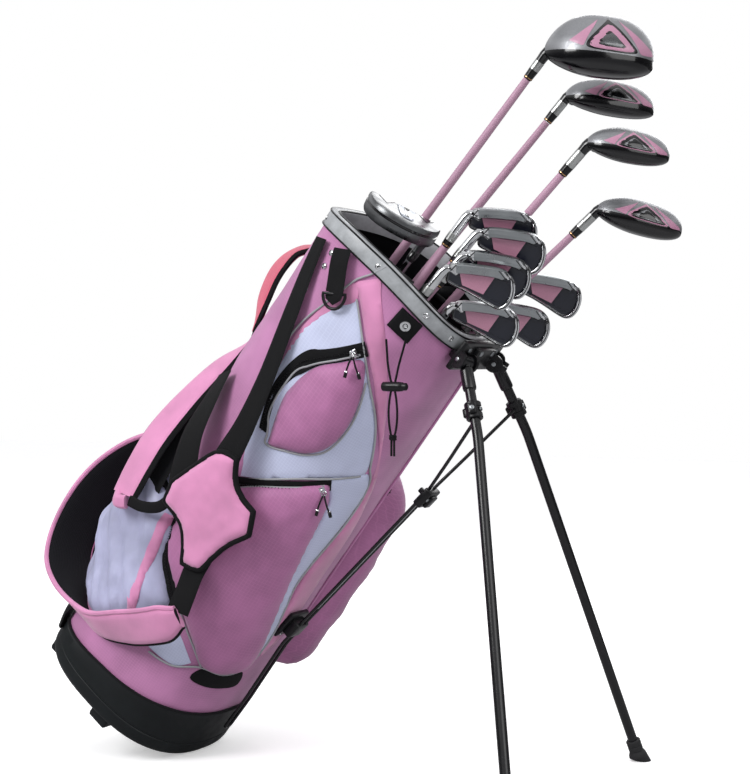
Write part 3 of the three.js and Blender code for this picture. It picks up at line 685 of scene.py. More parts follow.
def swelling(distance, out, swell, reach, wrinkle, folds=(30, 42, 0.0)):
    """How far fabric stands off the bag: out at its edge, and swell more within reach of it."""
    across, along, lean = folds

    def height(p):
        rise = crown(distance(np.array(p)), reach)
        x = p.x + lean * p.y
        crease = noise.noise(Vector((x / across, p.y / along, 3.3)))
        crease += 0.6 * noise.noise(Vector((x / across * 2.3, p.y / along * 2.2, 9.1)))
        return out + rise * (swell + wrinkle * crease)

    return height


def panel(name, outline, look, slot, out=1.0, swell=0.0, reach=16.0, step=6.0, wrinkle=0.0,
          skirt=-1.0, folds=(30, 42, 0.0), on=None, node=None):
    """A piece of fabric sewn on the bag, or on another piece's surface: its outline in (angle,
    height) and how it swells."""
    flat, faces, distance = sheet_points(outline, step)
    lift = swelling(distance, out, swell, reach, wrinkle, folds)
    upper, lower = [], []
    for p in flat:
        under = on(p) if on else 0.0
        upper.append(on_bag(p.x / ARC, p.y, lift(p) + under))
        lower.append(on_bag(p.x / ARC, p.y, skirt + under))
    shape = Shape().sheet(faces, upper, lower, [(p.x * MM, p.y * MM) for p in flat])
    obj = shape.make(name, [look], "bag", slot, node, sharp=75)


def piping(name, lines, look, radius=1.5):
    """Round cord sewn along lines of (angle, height) points, each at its distance out."""
    shape = Shape()
    for points, out in lines:
        shape.tube([on_bag(a, s, out) for a, s in spline(points, 6)], radius * MM, 10)
    shape.make(name, [look], "bag", "white_fabric")


def ribbon(shape, stations, half_width, thickness, per=6, edge_slot=0, under_slot=0, widths=None):
    """A strap through (place, outer normal) stations, in the bag's own millimetres."""
    places = spline([p for p, _ in stations], per, corners=False)
    normals = spline([n for _, n in stations], per, corners=False)
    profile = [(t, (1 - abs(t) ** 4) ** 0.5) for t in np.linspace(-1, 1, 11)]
    profile += [(t, -((1 - abs(t) ** 4) ** 0.5)) for t in np.linspace(0.9, -0.9, 9)]
    rows = []
    for i, p in enumerate(places):
        way = places[min(i + 1, len(places) - 1)] - places[max(i - 1, 0)]
        way /= np.linalg.norm(way)
        n = normals[i] - way * np.dot(normals[i], way)
        n /= np.linalg.norm(n)
        side = np.cross(way, n)
        wide = half_width * (widths(i / (len(places) - 1)) if widths else 1)
        rows.append([place(*(p + side * w * wide + n * h * thickness / 2)) for w, h in profile])

    def pick(i, j):
        """The bound edges, then the back of the strap, then its face."""
        if j in (0, 9, 10, 19):
            return edge_slot or (under_slot if j >= 11 else 0)
        return under_slot if j >= 11 else 0

    shape.grid(rows, around=True, cap=True, slot=pick)
    return rows


def panels():
    """Everything sewn on the near side."""
    panel("strip_bright_pink",
          [(-91, 741), (-94, 719), (-98, 683), (-101, 649), (-102, 626), (-99, 594), (-98, 626),
           (-96, 663), (-92, 695), (-88, 724)],
          PINK_BRIGHT, "pink_ripstop", out=1.6, swell=1.0, reach=6, step=5)
    panel("white_panel",
          [(-88, 724), (-88, 724), (-95, 683), (-101, 641), (-100, 594), (-98, 545), (-94, 497),
           (-92, 469), (-88, 428), (-88, 428), (-73, 458), (-58, 484), (-38, 508), (-22, 522),
           (-22, 540), (-26, 560), (-33, 586), (-42, 612), (-56, 643), (-68, 672), (-79, 700)],
          WHITE, "white_fabric", out=1.4, swell=1.6, reach=9, wrinkle=0.9)
    panel("white_side_panel",
          [(-45, 498), (-22, 523), (-16, 522), (-10, 500), (-9, 460), (-11, 420), (-15, 370),
           (-16, 330), (-12, 290), (-7, 240), (-7, 200), (-12, 170), (-12, 170), (-12, 215),
           (-17, 268), (-22, 314), (-26, 353), (-29, 392), (-31, 440), (-34, 472)],
          WHITE, "white_fabric", out=1.6, swell=2.0, reach=9, wrinkle=0.9)
    panel("belly_welt",
          [(-91, 741), (-88, 757), (-84, 766), (-78, 745), (-59, 694), (-40, 636), (-20, 566),
           (-5, 505), (2, 425), (3, 330), (4, 240), (-3, 190), (-6, 225), (-10, 290), (-13, 350),
           (-9, 410), (-7, 470), (-12, 523), (-22, 566), (-39, 608), (-55, 650), (-67, 676),
           (-79, 706), (-87, 728)],
          PINK_BRIGHT, "pink_ripstop", out=1.2, swell=2.4, reach=10, wrinkle=0.7)
    panel("low_white_triangle",
          [(-84, 139), (-84, 139), (-79, 170), (-72, 185), (-67, 183), (-52, 157), (-52, 157),
           (-62, 140)],
          WHITE, "white_fabric", out=1.3, swell=1.0, reach=8, step=5)
    panel("black_patch",
          [(-47, 136), (-43, 155), (-33, 161), (-20, 166), (-10, 160), (-8, 136), (-20, 131),
           (-36, 130)],
          BLACK_CLOTH, "black_webbing", out=1.6, swell=0.6, reach=5, step=5)

    panel("upper_pocket_face",
          [(-68, 666), (-78, 645), (-86, 621), (-89, 596), (-90, 571), (-90, 548), (-89, 527),
           (-87, 503), (-85, 491), (-76, 502), (-66, 514), (-58, 532), (-54, 553), (-53, 581),
           (-55, 610), (-60, 642)],
          PINK_POCKET, "pink_ripstop", out=3.0, swell=15.0, reach=42, step=5, wrinkle=1.8,
          node="upper_pocket")
    panel("lower_pocket_face",
          [(-99, 372), (-90, 402), (-80, 432), (-66, 458), (-44, 492), (-38, 484), (-33, 460),
           (-30, 420), (-27, 375), (-23, 330), (-18, 280), (-11, 215), (-12, 176), (-26, 160),
           (-45, 161), (-58, 186), (-70, 208), (-80, 226), (-90, 250), (-98, 285), (-101, 330)],
          PINK_POCKET, "pink_ripstop", out=3.0, swell=16.0, reach=40, step=6, wrinkle=2.2,
          node="lower_pocket")
    ball_edge = [(-150, 140), (-155, 200), (-154, 270), (-143, 312), (-124, 326), (-108, 318),
                 (-98, 300), (-94, 262), (-86, 230), (-82, 204), (-92, 140), (-104, 112),
                 (-126, 112)]
    folds = (13, 120, 0.8)

    def ball_bulge(p):
        """The pocket stands off most at its top corner next to the spine."""
        return 20 * ease((-112 - p.x / ARC) / 26) * ease((p.y - 150) / 80)

    panel("ball_pocket_face", ball_edge, SATIN, "white_fabric", out=3.0, swell=17.0, reach=34,
          step=5.5, wrinkle=6.0, folds=folds, on=ball_bulge, node="ball_pocket")
    ball_lift = swelling(sheet_points(ball_edge, 5.5)[2], 3.0, 17.0, 34, 6.0, folds)
    panel("ball_pocket_stripe",
          [(-106, 310), (-106, 310), (-101, 313), (-101, 313), (-95, 236), (-89.5, 158),
           (-89.5, 158), (-93, 154), (-93, 154), (-99, 232)],
          PINK_BRIGHT, "pink_ripstop", out=0.9, swell=0.7, reach=3, step=4, skirt=-3.0,
          on=lambda p: ball_lift(p) + ball_bulge(p))
    panel("ball_pocket_top",
          [(-150, 318), (-148, 350), (-138, 384), (-126, 396), (-114, 372), (-106, 338),
           (-108, 322), (-124, 330)],
          SATIN, "white_fabric", out=1.6, swell=3.0, reach=12, step=6, wrinkle=2.0, folds=folds)
    panel("far_pocket_face",
          [(32, 150), (28, 250), (30, 380), (36, 460), (60, 490), (90, 494), (112, 470),
           (118, 380), (118, 250), (112, 160), (90, 128), (56, 126)],
          PINK_POCKET, "pink_ripstop", out=4.0, swell=64.0, reach=85, step=8, wrinkle=4.0,
          node="far_pocket")
    panel("far_white_panel",
          [(40, 520), (70, 535), (104, 520), (112, 600), (104, 700), (70, 728), (44, 640)],
          WHITE, "white_fabric", out=1.3, swell=1.6, reach=9, step=8, wrinkle=0.8)

    piping("piping", [
        ([(-85, 786), (-91, 748), (-96, 702), (-103, 646), (-104, 600), (-101, 540)], 2.4),
        ([(-88, 726), (-79, 700), (-68, 672), (-56, 643), (-42, 612), (-33, 586), (-26, 560),
          (-20, 535), (-13, 515), (-9, 480), (-9, 440), (-12, 400), (-15, 365), (-16, 325),
          (-12, 288), (-7, 240), (-7, 200), (-12, 170), (-26, 157), (-45, 158), (-62, 139),
          (-78, 134)], 2.6),
        ([(-87, 427), (-73, 457), (-58, 483), (-38, 507), (-24, 521)], 2.8),
        ([(-71, 671), (-79, 648), (-87, 623), (-91, 598), (-92, 573), (-92, 548), (-91, 525),
          (-88, 500), (-86, 489), (-76, 500), (-66, 512), (-57, 530), (-53, 553), (-52, 581),
          (-54, 611), (-59, 644)], 3.6),
        ([(-100, 370), (-90, 400), (-80, 430), (-66, 456), (-44, 490)], 4.0),
        ([(-101, 330), (-99, 285), (-91, 249), (-81, 225), (-71, 206), (-58, 184), (-45, 160)], 3.4),
        ([(-113, 690), (-108, 620), (-104, 560), (-100, 500), (-97, 440)], 2.4),
        ([(112, 700), (114, 600), (112, 520), (104, 516), (70, 532), (42, 518)], 2.4),
    ], GREY_PIPE)
    piping("spine_welts", [
        ([(168, 90), (166, 300), (165, 500), (166, 740)], 1.8),
        ([(-168, 90), (-166, 300), (-165, 500), (-166, 740)], 1.8),
        ([(22, 160), (18, 300), (17, 500), (20, 740)], 1.8),
    ], PINK, 2.2)


def zip_run(name, points, half_width, out, taper=None):
    """A zip on the bag: black tape with a coil of teeth along its middle."""
    shape = Shape()
    places = spline(points, 10)
    rows = []
    for i, (a, s) in enumerate(places):
        before, after = places[max(i - 1, 0)], places[min(i + 1, len(places) - 1)]
        dx, dy = (after[0] - before[0]) * ARC, after[1] - before[1]
        length = math.hypot(dx, dy)
        nx, ny = -dy / length, dx / length
        w = half_width * (taper(i / (len(places) - 1)) if taper else 1)
        row = []
        for t, h in ((-1, -2), (-1, 0.6), (-0.6, 1.0), (-0.25, 0.6), (0, 0.4), (0.25, 0.6),
                     (0.6, 1.0), (1, 0.6), (1, -2)):
            row.append(on_bag(a + nx * w * t / ARC, s + ny * w * t, out + h))
        rows.append(row)
    shape.grid(rows, around=True, cap=True)
    middle = [on_bag(a, s, out + 1.2) for a, s in places]
    dense = [Vector(p) for p in spline(middle, 4)]
    travelled, last = 0.0, dense[0]
    side = 1
    for i in range(1, len(dense)):
        travelled += (dense[i] - last).length
        last = dense[i]
        if travelled > 1.5 * MM:
            travelled = 0.0
            side = -side
            way = (dense[i] - dense[i - 1]).normalized()
            out_way = (dense[i] - place(-148, 0, 0)).normalized()
            across = way.cross(out_way).normalized()
            turn = facing(dense[i] + across * side * 0.9 * MM, across.cross(way), way)
            shape.pad((2.6, 1.0, 1.4), turn, 0.4, slot=1)
    shape.make(name, [BLACK_CLOTH, BLACK_PLASTIC], "bag", "black_webbing")


def zip_slider(name, node, body, at):
    """A bright slider with a bridge, and two corded pulls hanging from it."""
    angle, height, out = at
    turn = on_skin(angle, height, out) @ Matrix.Rotation(math.radians(60), 4, "Z")
    shape = Shape()
    shape.pad((9, 12, 2.0), turn, 0.9)
    shape.pad((8, 10, 1.6), turn @ Matrix.Translation((0, 0, 3.4 * MM)), 0.8)
    shape.pad((4, 3, 4), turn @ Matrix.Translation((0, 4 * MM, 1.8 * MM)), 0.8)
    bridge = [turn @ Vector((0, 5 * math.cos(a) * MM, (4.2 + 3.2 * math.sin(a)) * MM))
              for a in np.linspace(0.1, math.pi - 0.1, 9)]
    shape.tube(bridge, 1.1 * MM, 8)
    top = turn @ Vector((0, 0, 8 * MM))
    down = Vector((0, 0, -1))
    sideways = Vector((math.cos(0.486), math.sin(0.486), 0))
    ring = [top + 3.5 * MM * (math.cos(a) * sideways + math.sin(a) * down) for a in
            np.linspace(0, 2 * math.pi, 17)[:-1]]
    shape.tube(ring, 0.8 * MM, 8, closed=True)
    for lean, length in ((-0.35, 24), (0.3, 26)):
        way = (down + sideways * lean).normalized()
        start = top + way * 3.5 * MM
        path = [start + way * length * MM * t + Vector((0, -1, 0)) * 2 * MM * math.sin(3 * t)
                for t in np.linspace(0, 1, 7)]
        shape.tube(path, 1.3 * MM, 8, slot=1)
        end = path[-1]
        grip = facing(end, Vector((0, -1, 0)), -way)
        shape.pad((4.6, 9, 3.4), grip, 1.2, slot=1)
        shape.pad((4.9, 2.2, 3.7), grip @ Matrix.Translation((0, 3.5 * MM, 0)), 0.8)
    shape.make(name, [CHROME, BLACK_PLASTIC], body, "zip_metal", node)


def zips():
    """Every zip with its slider."""
    zip_run("upper_zip",
            [(-70, 682), (-80, 654), (-88, 629), (-92, 603), (-94, 574), (-94, 549), (-92, 523),
             (-90, 500)], 10, 3.0, lambda t: 1 - 0.72 * t)
    zip_run("lower_zip", [(-96, 398), (-88, 415), (-78, 436), (-62, 462), (-40, 494)], 8.5, 3.6)
    zip_run("ball_zip", [(-153, 200), (-150, 276), (-138, 318), (-120, 330), (-106, 322)], 6, 4.0)
    zip_run("side_zip", [(-100, 322), (-98, 296), (-93, 262), (-86, 234), (-78, 216)], 6, 7.0)
    zip_run("far_zip", [(34, 470), (60, 502), (90, 506), (116, 476)], 6, 6.0)
    zip_slider("upper_zip_pull", "upper_zip_slider", "upper_zip", (-74, 668, 7))
    zip_slider("lower_zip_pull", "lower_zip_slider", "lower_zip", (-44, 484, 8))
    zip_slider("ball_zip_pull", None, "bag", (-141, 316, 8))
    zip_slider("far_zip_pull", None, "bag", (104, 490, 9))


# ---------------------------------------------------------------- collar, mouth and boot
DIVIDER_HEIGHT = 752


def collar():
    """The grey band round the mouth, its rivets, and the padded bars across the mouth."""
    angles = [360 * i / 144 for i in range(144)]
    profile = [(-8.5, -24), (2.6, -24), (3.2, -22.5), (3.4, -12), (3.2, -3.5), (2.4, -1.2),
               (0.5, 0), (-6.5, 0), (-8.4, -1.4), (-9, -3)]
    shape = Shape()
    shape.grid([[on_bag(a, rim_top(a) + h, o) for o, h in profile] for a in angles],
               around=True, loop=True)
    for out, height in ((3.3, -23.4), (3.2, -2.2), (-7.5, 0.2)):
        shape.tube([on_bag(a, rim_top(a) + height, out) for a in angles], 1.3 * MM, 8,
                   slot=1, closed=True)
    shape.make("collar_band", [SILVER_PLASTIC, BLACK_PLASTIC], "bag", "rim_silver", "collar")

    rivets = Shape()
    spots = [(a, rim_top(a) - 13, 3.0) for a in (-142, -88, -51, -26, 26, 51, 88, 142, 180)]
    spots += [(-113, 748, 0.8), (-112, 728, 0.8), (113, 748, 0.8), (112, 728, 0.8)]
    for angle, height, out in spots:
        rivets.lathe([(4.2, -0.4), (4.2, 0.5), (3.4, 1.2), (2.0, 1.5), (1.6, 1.0), (0.4, 0.9)],
                     on_skin(angle, height, out), 16)
    rivets.make("rivets", [CHROME], "bag", "zip_metal")

    bars = Shape()
    steps = 12
    for (u0, v0), (u1, v1), radius in (((-142, -117), (-142, 117), 10), ((-142, 50), (-56, 50), 5),
                                       ((-279, 0), (-142, 0), 8)):
        start, end = place(u0, v0, DIVIDER_HEIGHT), place(u1, v1, DIVIDER_HEIGHT)
        bars.tube([start.lerp(end, t / steps) for t in range(steps + 1)], radius * MM, 16)
    bars = bars.make("divider_padding", [LINING], "bag", "black_webbing", "mouth_divider")


def boot():
    """The moulded base: a groove round it, a lipped top edge, and pads under its corners."""
    angles = [360 * i / 120 for i in range(120)]
    # (out, height): the foot in millimetres, then the wall in shares of the boot's height
    foot = [(-40, 0.4), (-8, 0.2), (-3.5, 0.3), (0.4, 1.8), (2.6, 5), (3.4, 9), (3.5, 22),
            (2.6, 23), (2.6, 24.5), (3.5, 25.5)]
    wall = [(3.6, 0.62), (3.6, 0.9), (4.6, 0.93), (4.9, 0.985), (4.2, 1.0), (1.0, 1.005),
            (0.6, 0.97)]
    rows = [[on_bag(a, height, out) for a in angles] for out, height in foot]
    rows += [[on_bag(a, share * (boot_top(a) + 2), out) for a in angles] for out, share in wall]
    floor = [[on_bag(a, 0.4, out) for a in angles] for out in (-40, -120)]
    for row in rows + floor:
        for p in row:
            p.z = max(p.z, 0.0)
    shape = Shape().grid(rows, around=True)
    shape.grid(floor, around=True, cap=True)
    for u, s, length, reach in ((-236, 4, 34, 84), (-112, -5, 34, 110)):
        for v in (-1, 1):
            spot = BAG @ Matrix.Translation((u * MM, v * reach * MM, s * MM))
            shape.pad((length, 34, 26), spot, 4.0)
    shape.make("boot_shell", [BOOT], "bag", "boot_plastic", "boot", sharp=32)
    edge = Shape()
    edge.tube([on_bag(a, boot_top(a) + 1.6, 3.4) for a in angles], 2.0 * MM, 10, closed=True)
    edge.make("boot_binding", [BLACK_CLOTH], "bag", "boot_plastic")


skin()
panels()
zips()
collar()
boot()

# ---------------------------------------------------------------- straps, handle and hardware
def band(name, stations, half_width, thickness, looks, node=None, slot="strap_padding", pad=None,
         **kind):
    """A strap as its own piece; pad is not used."""
    shape = Shape()
    ribbon(shape, stations, half_width, thickness, **kind)
    obj = shape.make(name, looks, "bag", slot, node, sharp=60)


HUB = [(-170, 447), (-142, 458), (-142, 458), (-125, 434), (-103, 423), (-78, 420), (-78, 420),
       (-64, 391), (-64, 391), (-81, 358), (-89, 328), (-95, 302), (-121, 290), (-121, 290),
       (-136, 313), (-158, 332), (-196, 338), (-196, 338), (-202, 368), (-202, 368), (-189, 404)]
HUB_FRONT, HUB_BACK = -171, -166


def hub():
    """The strap hub: a bound pink pad with hollow sides and black arms."""
    flat, faces, distance = sheet_points(HUB, 6, arc=1.0)
    front, back = [], []
    for p in flat:
        rise = crown(distance(np.array(p)), 14)
        crease = noise.noise(Vector((p.x / 34, p.y / 34, 4.4)))
        crease += 0.5 * noise.noise(Vector((p.x / 15, p.y / 15, 2.2)))
        front.append(place(p.x, HUB_FRONT - rise * (6.5 + 2.0 * crease), p.y))
        back.append(place(p.x, HUB_BACK + 1.5 * rise, p.y))
    shape = Shape().sheet(faces, front, back, [(p.x * MM, p.y * MM) for p in flat])
    pad = shape.make("hub_pad", [PINK_BRIGHT], "bag", "strap_padding", "strap_hub", sharp=75)

    edge = Shape()
    ring = [place(u, -169.5, s) for u, s in spline(HUB, 6, closed=True)]
    edge.tube(ring, 4.3 * MM, 10, closed=True)
    edge.make("hub_binding", [WEBBING], "bag", "black_webbing")

    band("hub_lower_arm",
         [((-104, -165, 316), (0, -1, 0)), ((-101, -167, 292), (0, -1, 0)),
          ((-91, -173, 266), (0, -1, 0)), ((-80, -181, 238), (0.1, -1, 0))],
         17, 3.2, [WEBBING], slot="black_webbing")
    band("hub_side_arm",
         [((-186, -167, 366), (0, -1, 0)), ((-206, -162, 396), (-0.2, -1, 0)),
          ((-228, -150, 432), (-0.4, -0.9, 0)), ((-246, -128, 476), (-0.6, -0.8, 0)),
          ((-262, -104, 510), (-0.7, -0.7, 0))],
         23, 3.0, [WEBBING], slot="black_webbing")
    band("hub_strap_end",
         [((-192, -168, 346), (0, -1, 0)), ((-200, -167, 323), (0, -1, 0)),
          ((-222, -165, 304), (-0.1, -1, 0)), ((-246, -162, 294), (-0.2, -1, 0))],
         8, 4.0, [WEBBING], slot="black_webbing")


def straps():
    """The two padded shoulder straps, and the webbing that they hang from."""
    upper = [((-288, -34, 540), (-0.9, -0.3, 0.3)), ((-293, -60, 496), (-0.6, -0.7, 0.4)),
             ((-294, -88, 436), (-0.45, -0.8, 0.35)), ((-290, -113, 378), (-0.35, -0.9, 0.25)),
             ((-276, -136, 330), (-0.35, -0.9, 0.25)), ((-262, -152, 290), (-0.35, -0.9, 0.25))]
    band("upper_strap_pad", upper, 27, 13, [PINK_BRIGHT, WEBBING], "upper_shoulder_strap",
         pad=0.5, per=8, edge_slot=1, under_slot=1, widths=lambda t: 0.8 + 0.25 * math.sin(2.6 * t))
    band("upper_strap_lining",
         [((u + 20, v + 16, s + 2), n) for (u, v, s), n in upper[1:6]],
         24, 5, [MESH, WEBBING], per=8, edge_slot=1)
    band("upper_strap_end",
         [((-274, -148, 284), (-0.3, -0.9, -0.3)), ((-262, -160, 280), (-0.2, -1, -0.2)),
          ((-250, -160, 288), (0, -1, 0))], 10, 12, [PINK_BRIGHT])
    lower = [((-297, 32, 396), (-1, 0.3, 0.1)), ((-326, 14, 330), (-0.8, 0.6, 0)),
             ((-356, -12, 262), (-0.7, 0.7, -0.2)), ((-362, -38, 188), (-0.6, 0.75, -0.3)),
             ((-334, -70, 122), (-0.5, 0.7, -0.5)), ((-272, -112, 98), (-0.4, 0.3, -0.8)),
             ((-196, -148, 106), (-0.1, -0.6, -0.75)), ((-137, -170, 153), (0.2, -0.9, -0.3)),
             ((-92, -183, 202), (0.3, -0.95, -0.1)), ((-72, -184, 236), (0.3, -0.95, 0))]

    def lower_width(t):
        """Widest down the outside of the loop, and narrow where it meets the webbing."""
        wide = 0.66 + 0.42 * ease(t / 0.3) - 0.4 * ease((t - 0.48) / 0.14)
        return wide + 0.14 * ease((t - 0.66) / 0.14) - 0.36 * ease((t - 0.9) / 0.1)

    band("lower_strap_pad", lower, 32, 11, [PINK_BRIGHT, MESH, WEBBING], "lower_shoulder_strap",
         pad=0.5, per=8, under_slot=1, widths=lower_width)
    shape = Shape()
    rows = ribbon(Shape(), lower, 32, 11, per=8, widths=lower_width)
    for corner, slot, radius in ((10, 0, 2.2), (0, 1, 3.8)):
        shape.tube([row[corner] for row in rows], radius * MM, 8, slot=slot)
    shape.make("lower_strap_binding", [WEBBING, PINK_BRIGHT], "bag", "black_webbing")
    band("base_webbing",
         [((-262, -86, 84), (-0.9, -0.5, 0)), ((-270, -86, 58), (-0.9, -0.5, 0)),
          ((-266, -84, 28), (-0.9, -0.5, 0))], 22, 8, [WEBBING], slot="black_webbing")
    band("spine_webbing",
         [((-293, -6, 745), (-1, 0, 0)), ((-294, -6, 700), (-1, 0, 0)),
          ((-294, -10, 600), (-1, 0, 0)), ((-293, -16, 520), (-1, 0, 0)),
          ((-292, 0, 440), (-1, 0, 0)), ((-290, 20, 380), (-1, 0, 0))],
         15, 3, [WEBBING], slot="black_webbing")
    band("shoulder_webbing",
         [((-250, -112, 752), (-0.6, -0.8, 0)), ((-236, -120, 706), (-0.5, -0.86, 0)),
          ((-214, -132, 646), (-0.4, -0.9, 0)), ((-186, -145, 566), (-0.3, -0.95, 0)),
          ((-166, -158, 500), (-0.1, -1, 0)), ((-156, -168, 452), (0, -1, 0)),
          ((-150, -170, 430), (0, -1, 0))],
         16.5, 3.2, [WEBBING], "top_webbing", slot="black_webbing", per=8,
         widths=lambda t: 1 + 0.35 * ease((t - 0.6) / 0.4))
    buckle = Shape()
    for at, normal in (((-322, 10, 344), (-0.8, 0.6, 0)), ((-312, 18, 362), (-0.85, 0.5, 0))):
        turn = facing(place(*at), BAG.to_3x3() @ Vector(normal), BAG.to_3x3() @ Vector((0, 0, 1)))
        buckle.pad((44, 10, 11), turn, 2.5)
    buckle.make("strap_buckles", [BLACK_PLASTIC], "bag", "black_hardware")


def handle():
    """The padded lift handle, sewn to the spine at both ends."""
    stations = [((-296, -22, 706), (-0.7, -0.3, 0.8)), ((-312, -22, 690), (-0.8, -0.5, 0.5)),
                ((-322, -22, 664), (-0.7, -0.75, 0.2)), ((-324, -22, 636), (-0.62, -0.8, 0)),
                ((-317, -22, 602), (-0.62, -0.8, -0.1)), ((-307, -22, 576), (-0.7, -0.6, -0.3)),
                ((-299, -22, 556), (-0.8, -0.4, -0.3))]
    band("handle_pad", stations, 20, 11, [CORAL, BLACK_CLOTH], "lift_handle", "handle_padding",
         0.6, per=8, edge_slot=1, widths=lambda t: 0.62 + 0.42 * math.sin(math.pi * t))
    band("handle_top_strap",
         [((-290, -16, 726), (-1, 0, 0.3)), ((-297, -18, 708), (-0.9, 0, 0.6)),
          ((-310, -22, 694), (-0.7, -0.3, 0.8))], 13, 5, [WEBBING], slot="black_webbing")
    band("handle_foot_strap",
         [((-303, -22, 562), (-0.8, -0.4, -0.3)), ((-297, -20, 546), (-0.9, -0.2, -0.3)),
          ((-294, -16, 524), (-1, 0, 0))], 12, 5, [WEBBING], slot="black_webbing")


def ring_and_patch():
    """The D-ring on its tab, and the rain hood's snap on its patch."""
    band("ring_tab",
         [((-204, -133, 766), (-0.2, -1, 0)), ((-196, -137, 750), (-0.2, -1, 0)),
          ((-186, -139, 734), (-0.2, -1, 0)), ((-176, -141, 718), (-0.2, -1, 0)),
          ((-174, -141, 713.5), (-0.2, -1, 0)), ((-176, -137.5, 716), (-0.2, -1, 0))],
         15, 2.6, [WEBBING], "d_ring_tab", "black_webbing")
    turn = BAG @ Matrix.Translation(Vector((-174, -140.5, 714)) * MM)
    turn = turn @ Matrix.Rotation(math.radians(-32), 4, "Y")
    path = [Vector((x * MM, 0, 0)) for x in np.linspace(17, -17, 9)]
    path += [Vector((-17 * math.cos(a), 0, -20 * math.sin(a))) * MM
             for a in np.linspace(0.15, math.pi - 0.15, 25)]
    ring = Shape().tube([turn @ p for p in path], 2.2 * MM, 12, closed=True)
    ring.make("d_ring_wire", [BLACK_PLASTIC], "d_ring", "black_hardware", "d_ring")

    panel("hood_snap_patch",
          [(-66, 756), (-66, 756), (-49, 750), (-49, 750), (-51, 719), (-51, 719), (-68, 725),
           (-68, 725)],
          WEBBING, "black_webbing", out=3.4, swell=0.8, reach=3, step=4, node="snap_patch")
    snap = Shape().lathe([(3.2, -1), (3.2, 0.6), (3.6, 1.4), (5.6, 1.9), (7.0, 1.4), (7.4, 0.4),
                          (7.4, -1)], on_skin(-58.5, 738, 4.0), 28, cap=False)
    snap.lathe([(0.4, 0.6), (2.0, 0.8), (2.6, 0.3), (2.8, -1)], on_skin(-58.5, 738, 4.0), 20)
    snap.make("hood_snap", [CHROME], "bag", "zip_metal")


hub()
straps()
handle()
ring_and_patch()

# ---------------------------------------------------------------- stand
PIVOT, KNEE, FOOT = (-3, 50, 736), (84, 83, 681), (472, 239, 375)
FOLDED = Vector((0.025, 0.013, -1)).normalized()
CLAMP_AT = 72  # along the leg from its pivot
LEG_RADIUS, ROD_RADIUS = 6.9, 2.4
ROD_MOUTH, ROD_HEIGHT = (8.5, 225), (48.5, 552)  # (u, s) of the ends of the rod's straight run


def leg(side_name, side):
    """One leg with its clamp and rubber foot; side is -1 near and 1 far."""
    pivot, knee, foot = (place(p[0], side * p[1], p[2]) for p in (PIVOT, KNEE, FOOT))
    turn = BAG.to_3x3()
    fold = turn @ Vector((FOLDED.x, side * FOLDED.y, FOLDED.z))
    upper = (knee - pivot).normalized()
    lower = (foot - knee).normalized()
    line = upper.cross(fold).normalized()
    body = f"leg_{side_name}"

    shape = Shape()
    bend = [pivot + upper * 4 * MM, knee - upper * 22 * MM]
    a, b = knee - upper * 14 * MM, knee + lower * 14 * MM
    bend += bow(a, knee, b, (0.25, 0.5, 0.75))
    bend += [knee + lower * 22 * MM, foot - lower * 14 * MM]
    shape.tube(bend, LEG_RADIUS * MM, 24)
    barrel = facing(pivot, line, upper)
    shape.lathe([(3.4, -10), (8.6, -10), (9.4, -9.2), (9.4, 9.2), (8.6, 10), (3.4, 10)],
                barrel, 32, cap=False)
    shape.lathe([(3.4, 10), (3.4, -10)], barrel, 32, cap=False)
    collar_at = pivot + upper * 26 * MM
    shape.lathe([(7, -16), (8.8, -14), (9.2, 12), (8.6, 15), (7, 16)],
                facing(collar_at, upper, line), 28)
    shape.make(f"leg_tube_{side_name}", [LEG_PAINT], body, "leg_tube", f"leg_{side_name}")

    clamp = Shape()
    at = pivot + upper * CLAMP_AT * MM
    clamp.lathe([(7.4, -11.5), (10.4, -11.5), (11.2, -10.6), (11.2, -4), (10.2, -3.4),
                 (10.2, 3.4), (11.2, 4), (11.2, 10.6), (10.4, 11.5), (7.4, 11.5)],
                facing(at, upper, line), 32, cap=False)
    outward = (turn @ Vector((0.3, side * 1.0, 0.2))).normalized()
    outward = (outward - upper * outward.dot(upper)).normalized()
    clamp.pad((11, 15, 9), facing(at + outward * 10.5 * MM, outward, upper), 2)
    rear = (turn @ Vector((-0.4, 0, -1))).normalized()
    rear = (rear - upper * rear.dot(upper)).normalized()
    clamp.pad((12, 13, 8), facing(at + rear * 10 * MM, rear, upper), 2)
    for way in (outward, -rear):
        clamp.lathe([(3.4, 0), (3.4, 1.0), (2.6, 1.6), (1.2, 1.6), (1.0, 1.0), (0.2, 1.0)],
                    facing(at + way * (15 if way is outward else 10.6) * MM, way, upper), 16,
                    slot=1)
    clamp.make(f"leg_clamp_body_{side_name}", [BLACK_PLASTIC, SATIN_METAL], body,
               "black_hardware", f"leg_clamp_{side_name}")

    sock = Shape()
    sock.lathe([(7.3, -34), (9.4, -34), (10.4, -33), (10.4, -27), (9.8, -26.4), (9.8, -25),
                (10.4, -24.4), (10.4, -19), (9.8, -18.4), (9.8, -17), (10.6, -16.2),
                (12.6, -12), (13.2, -9), (13.2, 12)], facing(foot, lower, line), 32)
    for p in sock.verts:
        p.z = max(p.z, 0.0)
    sock.make(f"foot_tip_{side_name}", [RUBBER], body, "foot_rubber", f"foot_{side_name}")


